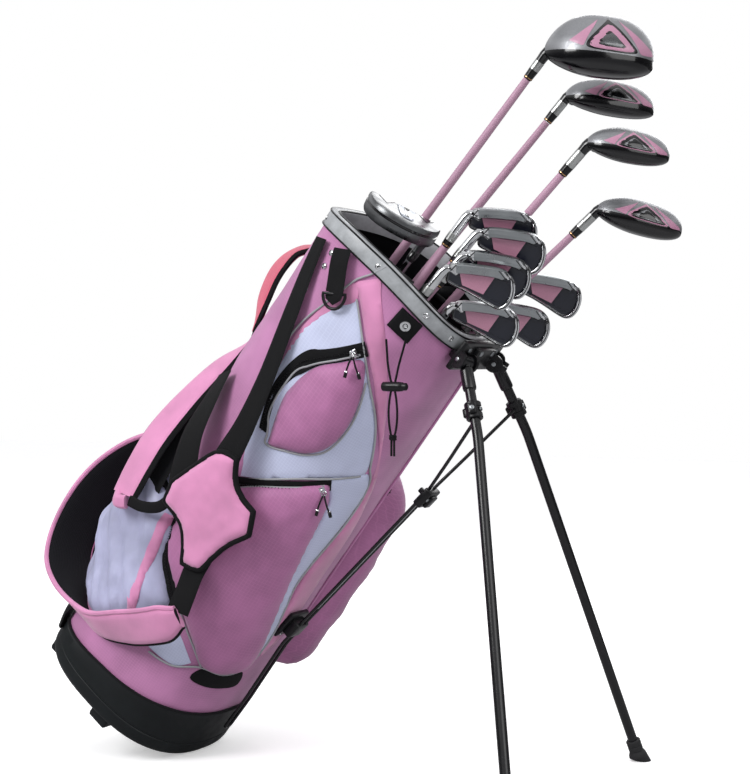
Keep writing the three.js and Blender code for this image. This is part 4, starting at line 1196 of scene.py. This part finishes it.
def stand():
    """The legs, the bent wire that spreads them, its clip and guide, and the bracket."""
    for name, side in (("near", -1), ("far", 1)):
        leg(name, side)

    (u0, s0), (u1, s1) = ROD_MOUTH, ROD_HEIGHT
    half = [(58.5, 58, 700), (53, 27, 612), (u1, 7, s1), (u0, 7, s0), (13, 7, 116), (13, 7, 58)]
    corners = [(u, -v, s) for u, v, s in half] + half[::-1]
    path = []
    for i, p in enumerate(corners):
        if i in (0, len(corners) - 1):
            path.append(place(*p))
            continue
        here = place(*p)
        before, after = place(*corners[i - 1]), place(*corners[i + 1])
        cut = min(9 * MM, (before - here).length / 2.2, (after - here).length / 2.2)
        a = here + (before - here).normalized() * cut
        b = here + (after - here).normalized() * cut
        path += bow(a, here, b, (0, 0.25, 0.5, 0.75, 1))
    rod = Shape().tube(path, ROD_RADIUS * MM, 14)
    rod.make("push_rod_wire", [LEG_PAINT], "push_rod", "leg_tube", "push_rod")

    turn = BAG.to_3x3()
    along = turn @ Vector((u1 - u0, 0, s1 - s0)).normalized()
    out = turn @ Vector((s1 - s0, 0, u0 - u1)).normalized()
    clip = Shape()
    clip.pad((30, 30, 13), facing(place(50.2, 0, 540), out, along), 2.5)
    clip.pad((16, 20, 6), facing(place(58, 0, 538), out, along), 2)
    clip.pad((6, 8, 20), facing(place(45, 0, 541), out, along), 1.5)
    for v in (-11, 11):
        clip.lathe([(3, 0), (3, 1), (2.2, 1.5), (0.4, 1.4)],
                   facing(place(57, v, 541), out, along), 14, slot=1)
    clip.make("rod_clip_body", [BLACK_PLASTIC, SATIN_METAL], "push_rod", "black_hardware",
              "rod_clip")

    guide = Shape()
    guide.pad((46, 46, 8), facing(place(-2, 0, 255), out, along), 2.5)
    guide.pad((31, 27, 16), facing(place(8, 0, 255), out, along), 3)
    for v in (-19, 19):
        for s in (240, 270):
            guide.lathe([(2.6, 0), (2.6, 0.8), (1.8, 1.4), (0.4, 1.3)],
                        facing(place(2, v, s), out, along), 12, slot=1)
    guide.make("rod_guide_body", [BLACK_PLASTIC, CHROME], "bag", "black_hardware", "rod_guide")

    # the two rod runs lie in a pale channel on the belly
    rows = []
    for s in np.linspace(300, 520, 12):
        u = u0 + (s - s0) * (u1 - u0) / (s1 - s0)
        rows.append([place(u + w, v, s) for v, w in
                     ((-3.4, -1), (3.4, -1), (3.4, 0.6), (-3.4, 0.6))])
    channel = Shape().grid(rows, around=True, cap=True)
    channel.make("rod_spacer", [SILVER_PLASTIC], "push_rod", "black_hardware", sharp=30)

    bracket = Shape()
    up = turn @ Vector((0, 0, 1))
    belly = turn @ Vector((1, 0, 0))
    bracket.pad((126, 46, 9), facing(place(-13.5, 0, 739), belly, up), 3)
    bracket.pad((56, 34, 14), facing(place(-9, 0, 739), belly, up), 3)
    for side in (-1, 1):
        pivot = place(PIVOT[0], side * PIVOT[1], PIVOT[2])
        knee = place(KNEE[0], side * KNEE[1], KNEE[2])
        fold = turn @ Vector((FOLDED.x, side * FOLDED.y, FOLDED.z))
        line = (knee - pivot).cross(fold).normalized()
        for end in (-1, 1):
            cheek = facing(pivot + line * end * 12.7 * MM, line * end, up)
            bracket.lathe([(12.4, -2.2), (12.6, -1.6), (12.6, 1.6), (11.8, 2.4), (6, 2.4),
                           (5.4, 3.2), (2, 3.4)], cheek, 28)
            bracket.pad((12, 22, 4.4),
                        cheek @ Matrix.Rotation(math.radians(90), 4, "Z")
                        @ Matrix.Translation((0, 8 * MM * end * side, 0)), 1.5)
            bracket.lathe([(3.0, 2.6), (3.0, 3.8), (2.0, 4.2), (0.4, 4.0)], cheek, 14, slot=1)
        bracket.tube([pivot - line * 12 * MM, pivot + line * 12 * MM], 2.9 * MM, 14, slot=1)
    for v in (-44, -18, 18, 44):
        bracket.lathe([(4, 0), (4, 0.8), (3, 1.6), (0.4, 1.4)],
                      facing(place(-9 if abs(v) > 30 else -2, v, 750), belly, up), 16, slot=1)
    bracket.make("bracket_body", [BLACK_PLASTIC, SATIN_METAL], "bag", "black_hardware",
                 "stand_bracket")

    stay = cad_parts["spine_stay"].data.materials
    stay.clear()
    stay.append(SILVER_PLASTIC)


stand()

# ---------------------------------------------------------------- clubs
WOODS = {
    "driver": ((-144, 150, 1067), (-178, 142), (150, 58, 25, 104, 45), 14),
    "fairway_wood": ((-76, 205, 1028), (-172, 112), (130, 35, 15, 66, 44), 21),
    "low_hybrid": ((-51, 48, 999), (-146, 58), (113, 29, 15, 54, 54), 25),
    "high_hybrid": ((20, 89, 932), (-154, 87), (124, 30, 17, 54, 50), 25),
}
IRONS = {
    "iron_a": ((-127, 35, 836), (-136, 30)),
    "iron_b": ((-110, 12, 827), (-168, 14)),
    "iron_c": ((-115, -12, 796), (-196, -2)),
    "iron_d": ((-126, -31, 773), (-172, -20)),
    "iron_e": ((-87, -13, 730), (-140, -22)),
    "iron_f": ((-33, 60, 737), (-112, 44)),
    "iron_g": ((-8, 108, 786), (-90, 110)),
}
PUTTER = ((-150, 66, 786), (-182, 66))
SOLE = Vector((math.sin(LIE), 0, math.cos(LIE)))
CROWN = Vector((math.cos(LIE), 0, -math.sin(LIE)))


def on_grid(toe, back, height):
    """A place in the bag from millimetres toward the clubs' toes, back from them, and up."""
    c, s = math.cos(TOE_TURN), math.sin(TOE_TURN)
    return Vector((toe * c - back * s, toe * s + back * c, height))


def club_frame(tip, butt, toeward=1):
    """The club's own frame at its shaft's tip, +Z on past the tip and +X to the toe; its length."""
    end, start = on_grid(*tip), on_grid(*butt, 8.4)
    z = (end - start).normalized()
    y = z.cross(on_grid(toeward, 0, 0)).normalized()
    x = y.cross(z)
    turn = Matrix((x, y, z)).transposed().to_4x4()
    return BAG @ Matrix.Translation(end * MM) @ turn, (end - start).length


def shaft(name, frame_matrix, length, look):
    """Grip and shaft: a tapered rubber grip with rings cut round it, then the lacquered shaft."""
    shape = Shape()
    grip = [(0.5, 4), (8, 4), (11.6, 4.6), (12.6, 7), (12.5, 10), (11.9, 11), (12.1, 12.5)]
    rings = 40
    for i in range(rings + 1):
        t = i / rings
        grip.append((12.1 - 3.0 * t - (0.35 if i % 2 else 0.0), 16 + 240 * t))
    grip += [(9.2, 259), (8.6, 262), (6.6, 262.5)]
    shape.lathe([(r, z - length) for r, z in grip], frame_matrix, 24, cap=True)
    line = [(7.0, 262.4), (6.95, 300), (6.6, (length + 262) / 2), (5.9, length - 120),
            (5.3, length - 10), (5.2, length)]
    shape.lathe([(r, z - length) for r, z in line], frame_matrix, 24, slot=1)
    shape.make(f"{name}_grip_and_shaft", [RUBBER, look], name,
               "steel_shaft" if name == "putter" else "graphite_shaft", f"{name}_shaft")


def ferrule(shape, matrix, band, slots, black=15):
    """Black ferrule with a thin gold line, and a bright band above it."""
    s_black, s_band, s_gold = slots
    shape.lathe([(5.3, 0.4), (6.0, 0.8), (6.3, 1.6), (6.3, 2.0)], matrix, 28, slot=s_black)
    shape.lathe([(6.3, 2.0), (6.5, 2.2), (6.5, 3.2), (6.3, 3.4)], matrix, 28, slot=s_gold)
    shape.lathe([(6.3, 3.4), (6.9, black), (6.6, black + 0.2)], matrix, 28, slot=s_black)
    shape.lathe([(6.6, black), (7.0, black + 0.3), (7.1, black + band - 0.3), (6.8, black + band)],
                matrix, 28, slot=s_band)
    return black + band


def wood_surface(size, matrix):
    """Gives a point of a wood's head for a share t from heel to toe and an angle round it."""
    length, sole_depth, crown_depth, breadth, neck = size
    heel = Vector((0, 0, neck)) - 5 * SOLE

    def dome(t, heel=2.0, toe=3.4):
        """Full in the middle, rounded at the heel and blunter at the toe."""
        x = 2 * t**0.92 - 1
        return max(1 - abs(x) ** (toe if x > 0 else heel), 0) ** (0.5 if x > 0 else 0.62)

    def point(t, a, lift=0.0):
        t = min(max(t, 0.001), 0.999)
        rise = math.sin(a)
        up = rise * (sole_depth * dome(t) if rise < 0 else crown_depth * dome(t, 1.7, 2.4))
        side = math.cos(a)
        out = side * dome(t) * breadth * (0.38 if side > 0 else 0.62)
        p = heel + SOLE * length * t + CROWN * up + Vector((0, out, 0))
        if lift:
            middle = heel + SOLE * length * (0.12 + 0.76 * t)
            p += (p - middle).normalized() * lift
        return matrix @ (p * MM)

    def on_sole(t, k, lift):
        """A point of the sole as seen from behind: k is its height as a share of the depth."""
        a = math.pi + math.asin(min(k / max(dome(t), 0.05), 0.985))
        return point(t, a, lift)

    return point, on_sole


def decal(shape, outline, surface, slot, lift):
    """A thin raised inlay inside an outline of (share along, share up) points."""
    flat, faces, distance = sheet_points(outline, 0.035, arc=1.0)
    upper = []
    for p in flat:
        edge = min(distance(np.array(p)) / 0.02, 1.0)
        upper.append(surface(p.x, p.y, lift * (0.55 + 0.45 * edge)))
    lower = [surface(p.x, p.y, -0.6) for p in flat]
    shape.sheet(faces, upper, lower, [(p.x * 0.1, p.y * 0.1) for p in flat], slot)


SHIELD = [(0.50, 0.95), (0.50, 0.95), (0.42, 0.78), (0.34, 0.56), (0.315, 0.42), (0.35, 0.36),
          (0.54, 0.34), (0.72, 0.33), (0.775, 0.38), (0.71, 0.56), (0.60, 0.80)]
WING_HEEL = [(0.41, 0.93), (0.41, 0.93), (0.29, 0.70), (0.17, 0.42), (0.17, 0.42), (0.29, 0.37),
             (0.29, 0.37), (0.33, 0.62)]
WING_TOE = [(0.60, 0.94), (0.60, 0.94), (0.76, 0.70), (0.91, 0.40), (0.94, 0.26), (0.94, 0.26),
            (0.81, 0.32), (0.81, 0.32), (0.73, 0.60)]


def shrunk(outline, share, middle=(0.53, 0.53)):
    """The same outline, smaller round its middle."""
    return [tuple(m + (p - m) * share for p, m in zip(point, middle)) for point in outline]


def wood(name, tip, butt, size, band):
    """A wood or hybrid: a silver sole part over a black crown, with inlays, neck and ferrule."""
    matrix, length = club_frame(tip, butt)
    shaft(name, matrix, length, SHAFT_PINK)
    point, on_sole = wood_surface(size, matrix)
    rings, around = 34, 60
    driver = name == "driver"
    line = 0.34 if driver else 0.40

    def slot(i, j):
        a = 2 * math.pi * (j + 0.5) / around
        below = a - math.pi
        return 1 if math.asin(line) < below < math.pi - 0.25 else 0

    shape = Shape()
    rows = []
    for i in range(rings + 1):
        t = (1 - math.cos(math.pi * (0.03 + 0.94 * i / rings))) / 2
        rows.append([point(t, 2 * math.pi * j / around) for j in range(around)])
    shape.grid(rows, around=True, cap=True, slot=slot)
    badge = [(0.8, SHIELD, 0), (1.3, shrunk(SHIELD, 0.86), 2), (1.7, shrunk(SHIELD, 0.60), 0),
             (2.1, shrunk(SHIELD, 0.52), 7)]
    if not driver:
        badge = [(0.8, SHIELD, 2), (1.2, shrunk(SHIELD, 0.88), 0), (1.6, shrunk(SHIELD, 0.66), 1),
                 (2.0, shrunk(SHIELD, 0.56), 0)]
    for lift, outline, which in [(0.5, WING_HEEL, 2), (0.5, WING_TOE, 2), *badge]:
        decal(shape, outline, on_sole, which, lift)
    # the neck runs from the bright band into the heel
    top = 15 + band
    neck = size[-1]
    heel = Vector((0, 0, neck)) - 5 * SOLE
    end = heel + SOLE * 22 + CROWN * 1
    path = [Vector((0, 0, top - 1)), Vector((0, 0, top + 4)), Vector((0, 0, (top + neck) / 2 + 2))]
    path += bow(path[-1], Vector((0, 0, neck + 4)), end, (0.25, 0.5, 0.75, 1.0))
    radii = [6.9, 7.0, 7.6, 8.6, 9.8, 10.4, 8.0]
    shape.tube([matrix @ (p * MM) for p in path], [r * MM for r in radii], 24)
    ferrule(shape, matrix, band, (4, 5, 6))
    looks = [GLOSS_BLACK, SOLE_SILVER, CLUB_PINK, CHROME, FERRULE, BRUSHED_BAND, GOLD_LINE, GEM]
    shape.make(f"{name}_head_body", looks, name, "wood_head", f"{name}_head", sharp=35)


IRON_OUTLINE = [(-2, 14), (0, 4), (10, 0), (26, -1.5), (42, -2), (58, -2), (70, -0.5), (79, 3.5),
                (86, 10.5), (90, 21), (90.5, 32), (88, 43), (82, 51.5), (73, 54.5), (62, 51.5),
                (42, 43), (24, 36), (8, 31), (-1, 26)]


def iron(name, tip, butt):
    """A cavity-back iron: a stepped rim, a wide sole bar, and two flat badges in the cavity."""
    matrix, length = club_frame(tip, butt)
    shaft(name, matrix, length, SHAFT_PINK)
    heel = Vector((-1, 0, 64))

    def at(along, up, out):
        return matrix @ ((heel + SOLE * along + CROWN * up + Vector((0, out, 0))) * MM)

    run = [np.array(p) for p in spline(IRON_OUTLINE, 5, closed=True)]
    n = len(run)
    middle = np.array((46.0, 24.0))
    rows, inner_floor, slots = [], [], []
    for i, p in enumerate(run):
        way = run[(i + 1) % n] - run[i - 1]
        way /= np.linalg.norm(way)
        inward = np.array((-way[1], way[0]))
        if np.dot(inward, middle - p) < 0:
            inward = -inward
        soleness = ease((12 - p[1]) / 12) * ease((88 - p[0]) / 14)
        toeness = ease((p[0] - 66) / 18) * ease((p[1] - 2) / 16)
        wide = 3.2 + 8.2 * soleness + 2.8 * toeness
        back = -4.2 - 6.6 * soleness - 2.4 * toeness
        ring = []
        cut = 0.9 * (1 - ease(soleness / 0.4))
        split = 0.52 * wide
        for inset, out in ((1.2, 4.6), (0.2, 3.6), (-0.2, 0.5), (0.0, back + 2.0),
                           (0.6, back + 0.7), (split - 0.7, back), (split - 0.4, back + cut),
                           (split + 0.4, back + cut), (split + 0.7, back + 0.1),
                           (wide - 0.8, back + 0.5), (wide - 0.1, back + 1.2),
                           (wide + 0.3, back + 2.4), (wide + 1.0, -1.0)):
            q = p + inward * inset
            ring.append(at(q[0], q[1], out))
        rows.append(ring)
        inner_floor.append(p + inward * (wide + 1.0))
        # slot 5 marks the rim groove, filled with black as a painted dark reflection line
        slots.append(1 if soleness > 0.75 and 6 < p[0] < 74 else (5 if cut > 0.6 else 0))

    def finish(i, j):
        """Satin along the sole bar, bright elsewhere, and black in the groove round the rim: the
        groove's black is a painted dark reflection line between the rim's bright lines.
        """
        if slots[i] == 5:
            return 5 if 5 <= j <= 7 else 0
        return slots[i] if 2 <= j <= 10 else 0

    shape = Shape()
    shape.grid(rows, loop=True, slot=finish)
    face = [p + (middle - p) / np.linalg.norm(middle - p) for p in run]
    for ring, out, which in ((inner_floor, -1.0, 2), (face, 4.6, 0)):
        base = len(shape.verts)
        shape.verts += [at(q[0], q[1], out) for q in ring] + [at(*middle, out)]
        for i in range(n):
            shape.faces.append((base + i, base + (i + 1) % n, base + n))
            shape.uvs.append([(0, 0), (0.001, 0), (0, 0.001)])
            shape.slots.append(which)

    def badge(corners, out, which):
        (x0, y0), (x1, y1), (x2, y2), (x3, y3) = corners
        grid = []
        for t in np.linspace(0, 1, 9):
            lower = (x0 + (x1 - x0) * t, y0 + (y1 - y0) * t)
            upper = (x3 + (x2 - x3) * t, y3 + (y2 - y3) * t)
            grid.append([at(*(a + (b - a) * k for a, b in zip(lower, upper)), o) for k, o in
                         ((0, -0.9), (0.02, out), (0.5, out), (0.98, out), (1, -0.9))])
        shape.grid(grid, slot=which)

    badge([(15, 12.5), (61, 11.5), (50, 37), (21, 28.5)], -2.0, 3)
    badge([(63, 11.5), (79, 16), (76, 46), (52.5, 38.5)], -1.6, 4)
    # dark slits and bright bars across the toe end of the sole bar; the slits' black is a painted
    # dark reflection band between highlight stripes
    for x0, lean, which, wide in ((64, 10, 5, 1.6), (68, 10, 0, 2.4), (72.5, 9, 5, 1.4),
                                  (8, -6, 5, 1.4)):
        bar = []
        for t in np.linspace(0, 1, 5):
            u = 0.6 + 9.4 * t
            bar.append([at(x0 + lean * t + w, u - 1.2, o)
                        for w, o in ((-wide / 2, -9.4), (-wide / 2, -11.4), (wide / 2, -11.4),
                                     (wide / 2, -9.4))])
        shape.grid(bar, around=True, cap=True, slot=which)
    # hosel, flowing into the heel
    top = ferrule(shape, matrix, 12, (6, 7, 8), black=10)
    end = heel + SOLE * 12 + CROWN * 14
    path = [Vector((0, 0, top - 1)), Vector((0, 0, top + 8)), Vector((0, 0, 48))]
    path += bow(path[-1], Vector((0, 0, 62)), end, (0.3, 0.6, 1.0))
    shape.tube([matrix @ (p * MM) for p in path],
               [r * MM for r in (6.6, 6.5, 6.2, 6.0, 5.4, 4.0)], 20)
    # gloss black in slot 5 paints the rim groove and the sole-bar slits dark, as painted reflection
    # bands of the chrome
    looks = [CHROME, SATIN_METAL, NAVY, BADGE_PINK, NAVY, GLOSS_BLACK, FERRULE, BRUSHED_BAND,
             GOLD_LINE]
    shape.make(f"{name}_head_body", looks, name, "iron_head", f"{name}_head", sharp=38)


def putter():
    """The mallet: a deep rounded block, milled slots in its sole and a pale plate on its side."""
    matrix, length = club_frame(*PUTTER, toeward=-1)
    shaft("putter", matrix, length, CHROME)
    tilt = matrix @ Matrix.Rotation(math.radians(8), 4, "Y")
    outline = [(-20, -34), (-20, -34), (88, -34), (88, -34), (88, -12), (80, 14), (62, 31),
               (34, 38), (6, 31), (-12, 14), (-20, -12)]
    run = [np.array(p) for p in spline(outline, 6, closed=True)]
    middle = np.array((34.0, -4.0))

    def level(inset, height):
        ring = []
        for p in run:
            q = p + (middle - p) / np.linalg.norm(middle - p) * inset
            ring.append(tilt @ (Vector((*q, height)) * MM))
        return ring

    shape = Shape()
    shape.grid([level(i, h) for i, h in ((6, 30), (2, 31), (0.3, 34), (0, 40), (0, 44),
                                         (1.2, 45), (1.2, 47), (0, 48), (0.3, 52), (2, 55),
                                         (6, 56), (12, 56.2))],
               around=True, cap=True, slot=lambda i, j: 1 if 4 <= i <= 6 else 0)

    def plate(points, low, high, which):
        ring = [np.array(p) for p in spline(points, 4, closed=True)]
        centre = sum(ring) / len(ring)
        inner = [q + (centre - q) * 0.04 for q in ring]
        rows = [[tilt @ (Vector((*q, h)) * MM) for q in edge]
                for edge, h in ((ring, low), (ring, high - 0.4), (inner, high))]
        shape.grid(rows, around=True, cap=True, slot=which)

    plate([(-8, -26), (-8, -26), (14, -27), (14, -27), (4, -6), (4, -6)], 55, 56.9, 1)
    plate([(76, -27), (76, -27), (52, -27), (52, -27), (64, -4), (64, -4)], 55, 56.9, 1)
    plate([(20, -26), (20, -26), (48, -26), (48, -26), (44, 20), (34, 27), (24, 20)], 55, 57.4, 2)
    plate([(30, -24), (30, -24), (38, -24), (38, -24), (37, 16), (34, 20), (31, 16)], 56, 58.0, 1)
    half = [(34 + 22 * math.cos(a), 20 * math.sin(a)) for a in np.linspace(0, math.pi, 15)]
    rows = []
    for out in (-33.2, -36.0, -36.4):
        squeeze = 1 if out > -36.2 else 0.93
        rows.append([tilt @ (Vector((34 + (x - 34) * squeeze, out, 51 - y * squeeze)) * MM)
                     for x, y in half])
    shape.grid(rows, around=True, cap=True, slot=3)
    shape.lathe([(5.4, 0.4), (6.4, 1), (6.6, 14), (6.0, 15)], matrix, 24, slot=1)
    shape.tube([matrix @ Vector((0, 0, z * MM)) for z in (14, 24, 36)],
               [5.8 * MM, 6.0 * MM, 8 * MM], 20)
    shape.make("putter_head_body", [MALLET, GLOSS_BLACK, PLATE, PLATE], "putter", "putter_metal",
               "putter_head", sharp=35)


for name, (tip, butt, size, band_length) in WOODS.items():
    wood(name, tip, butt, size, band_length)
for name, (tip, butt) in IRONS.items():
    iron(name, tip, butt)
putter()
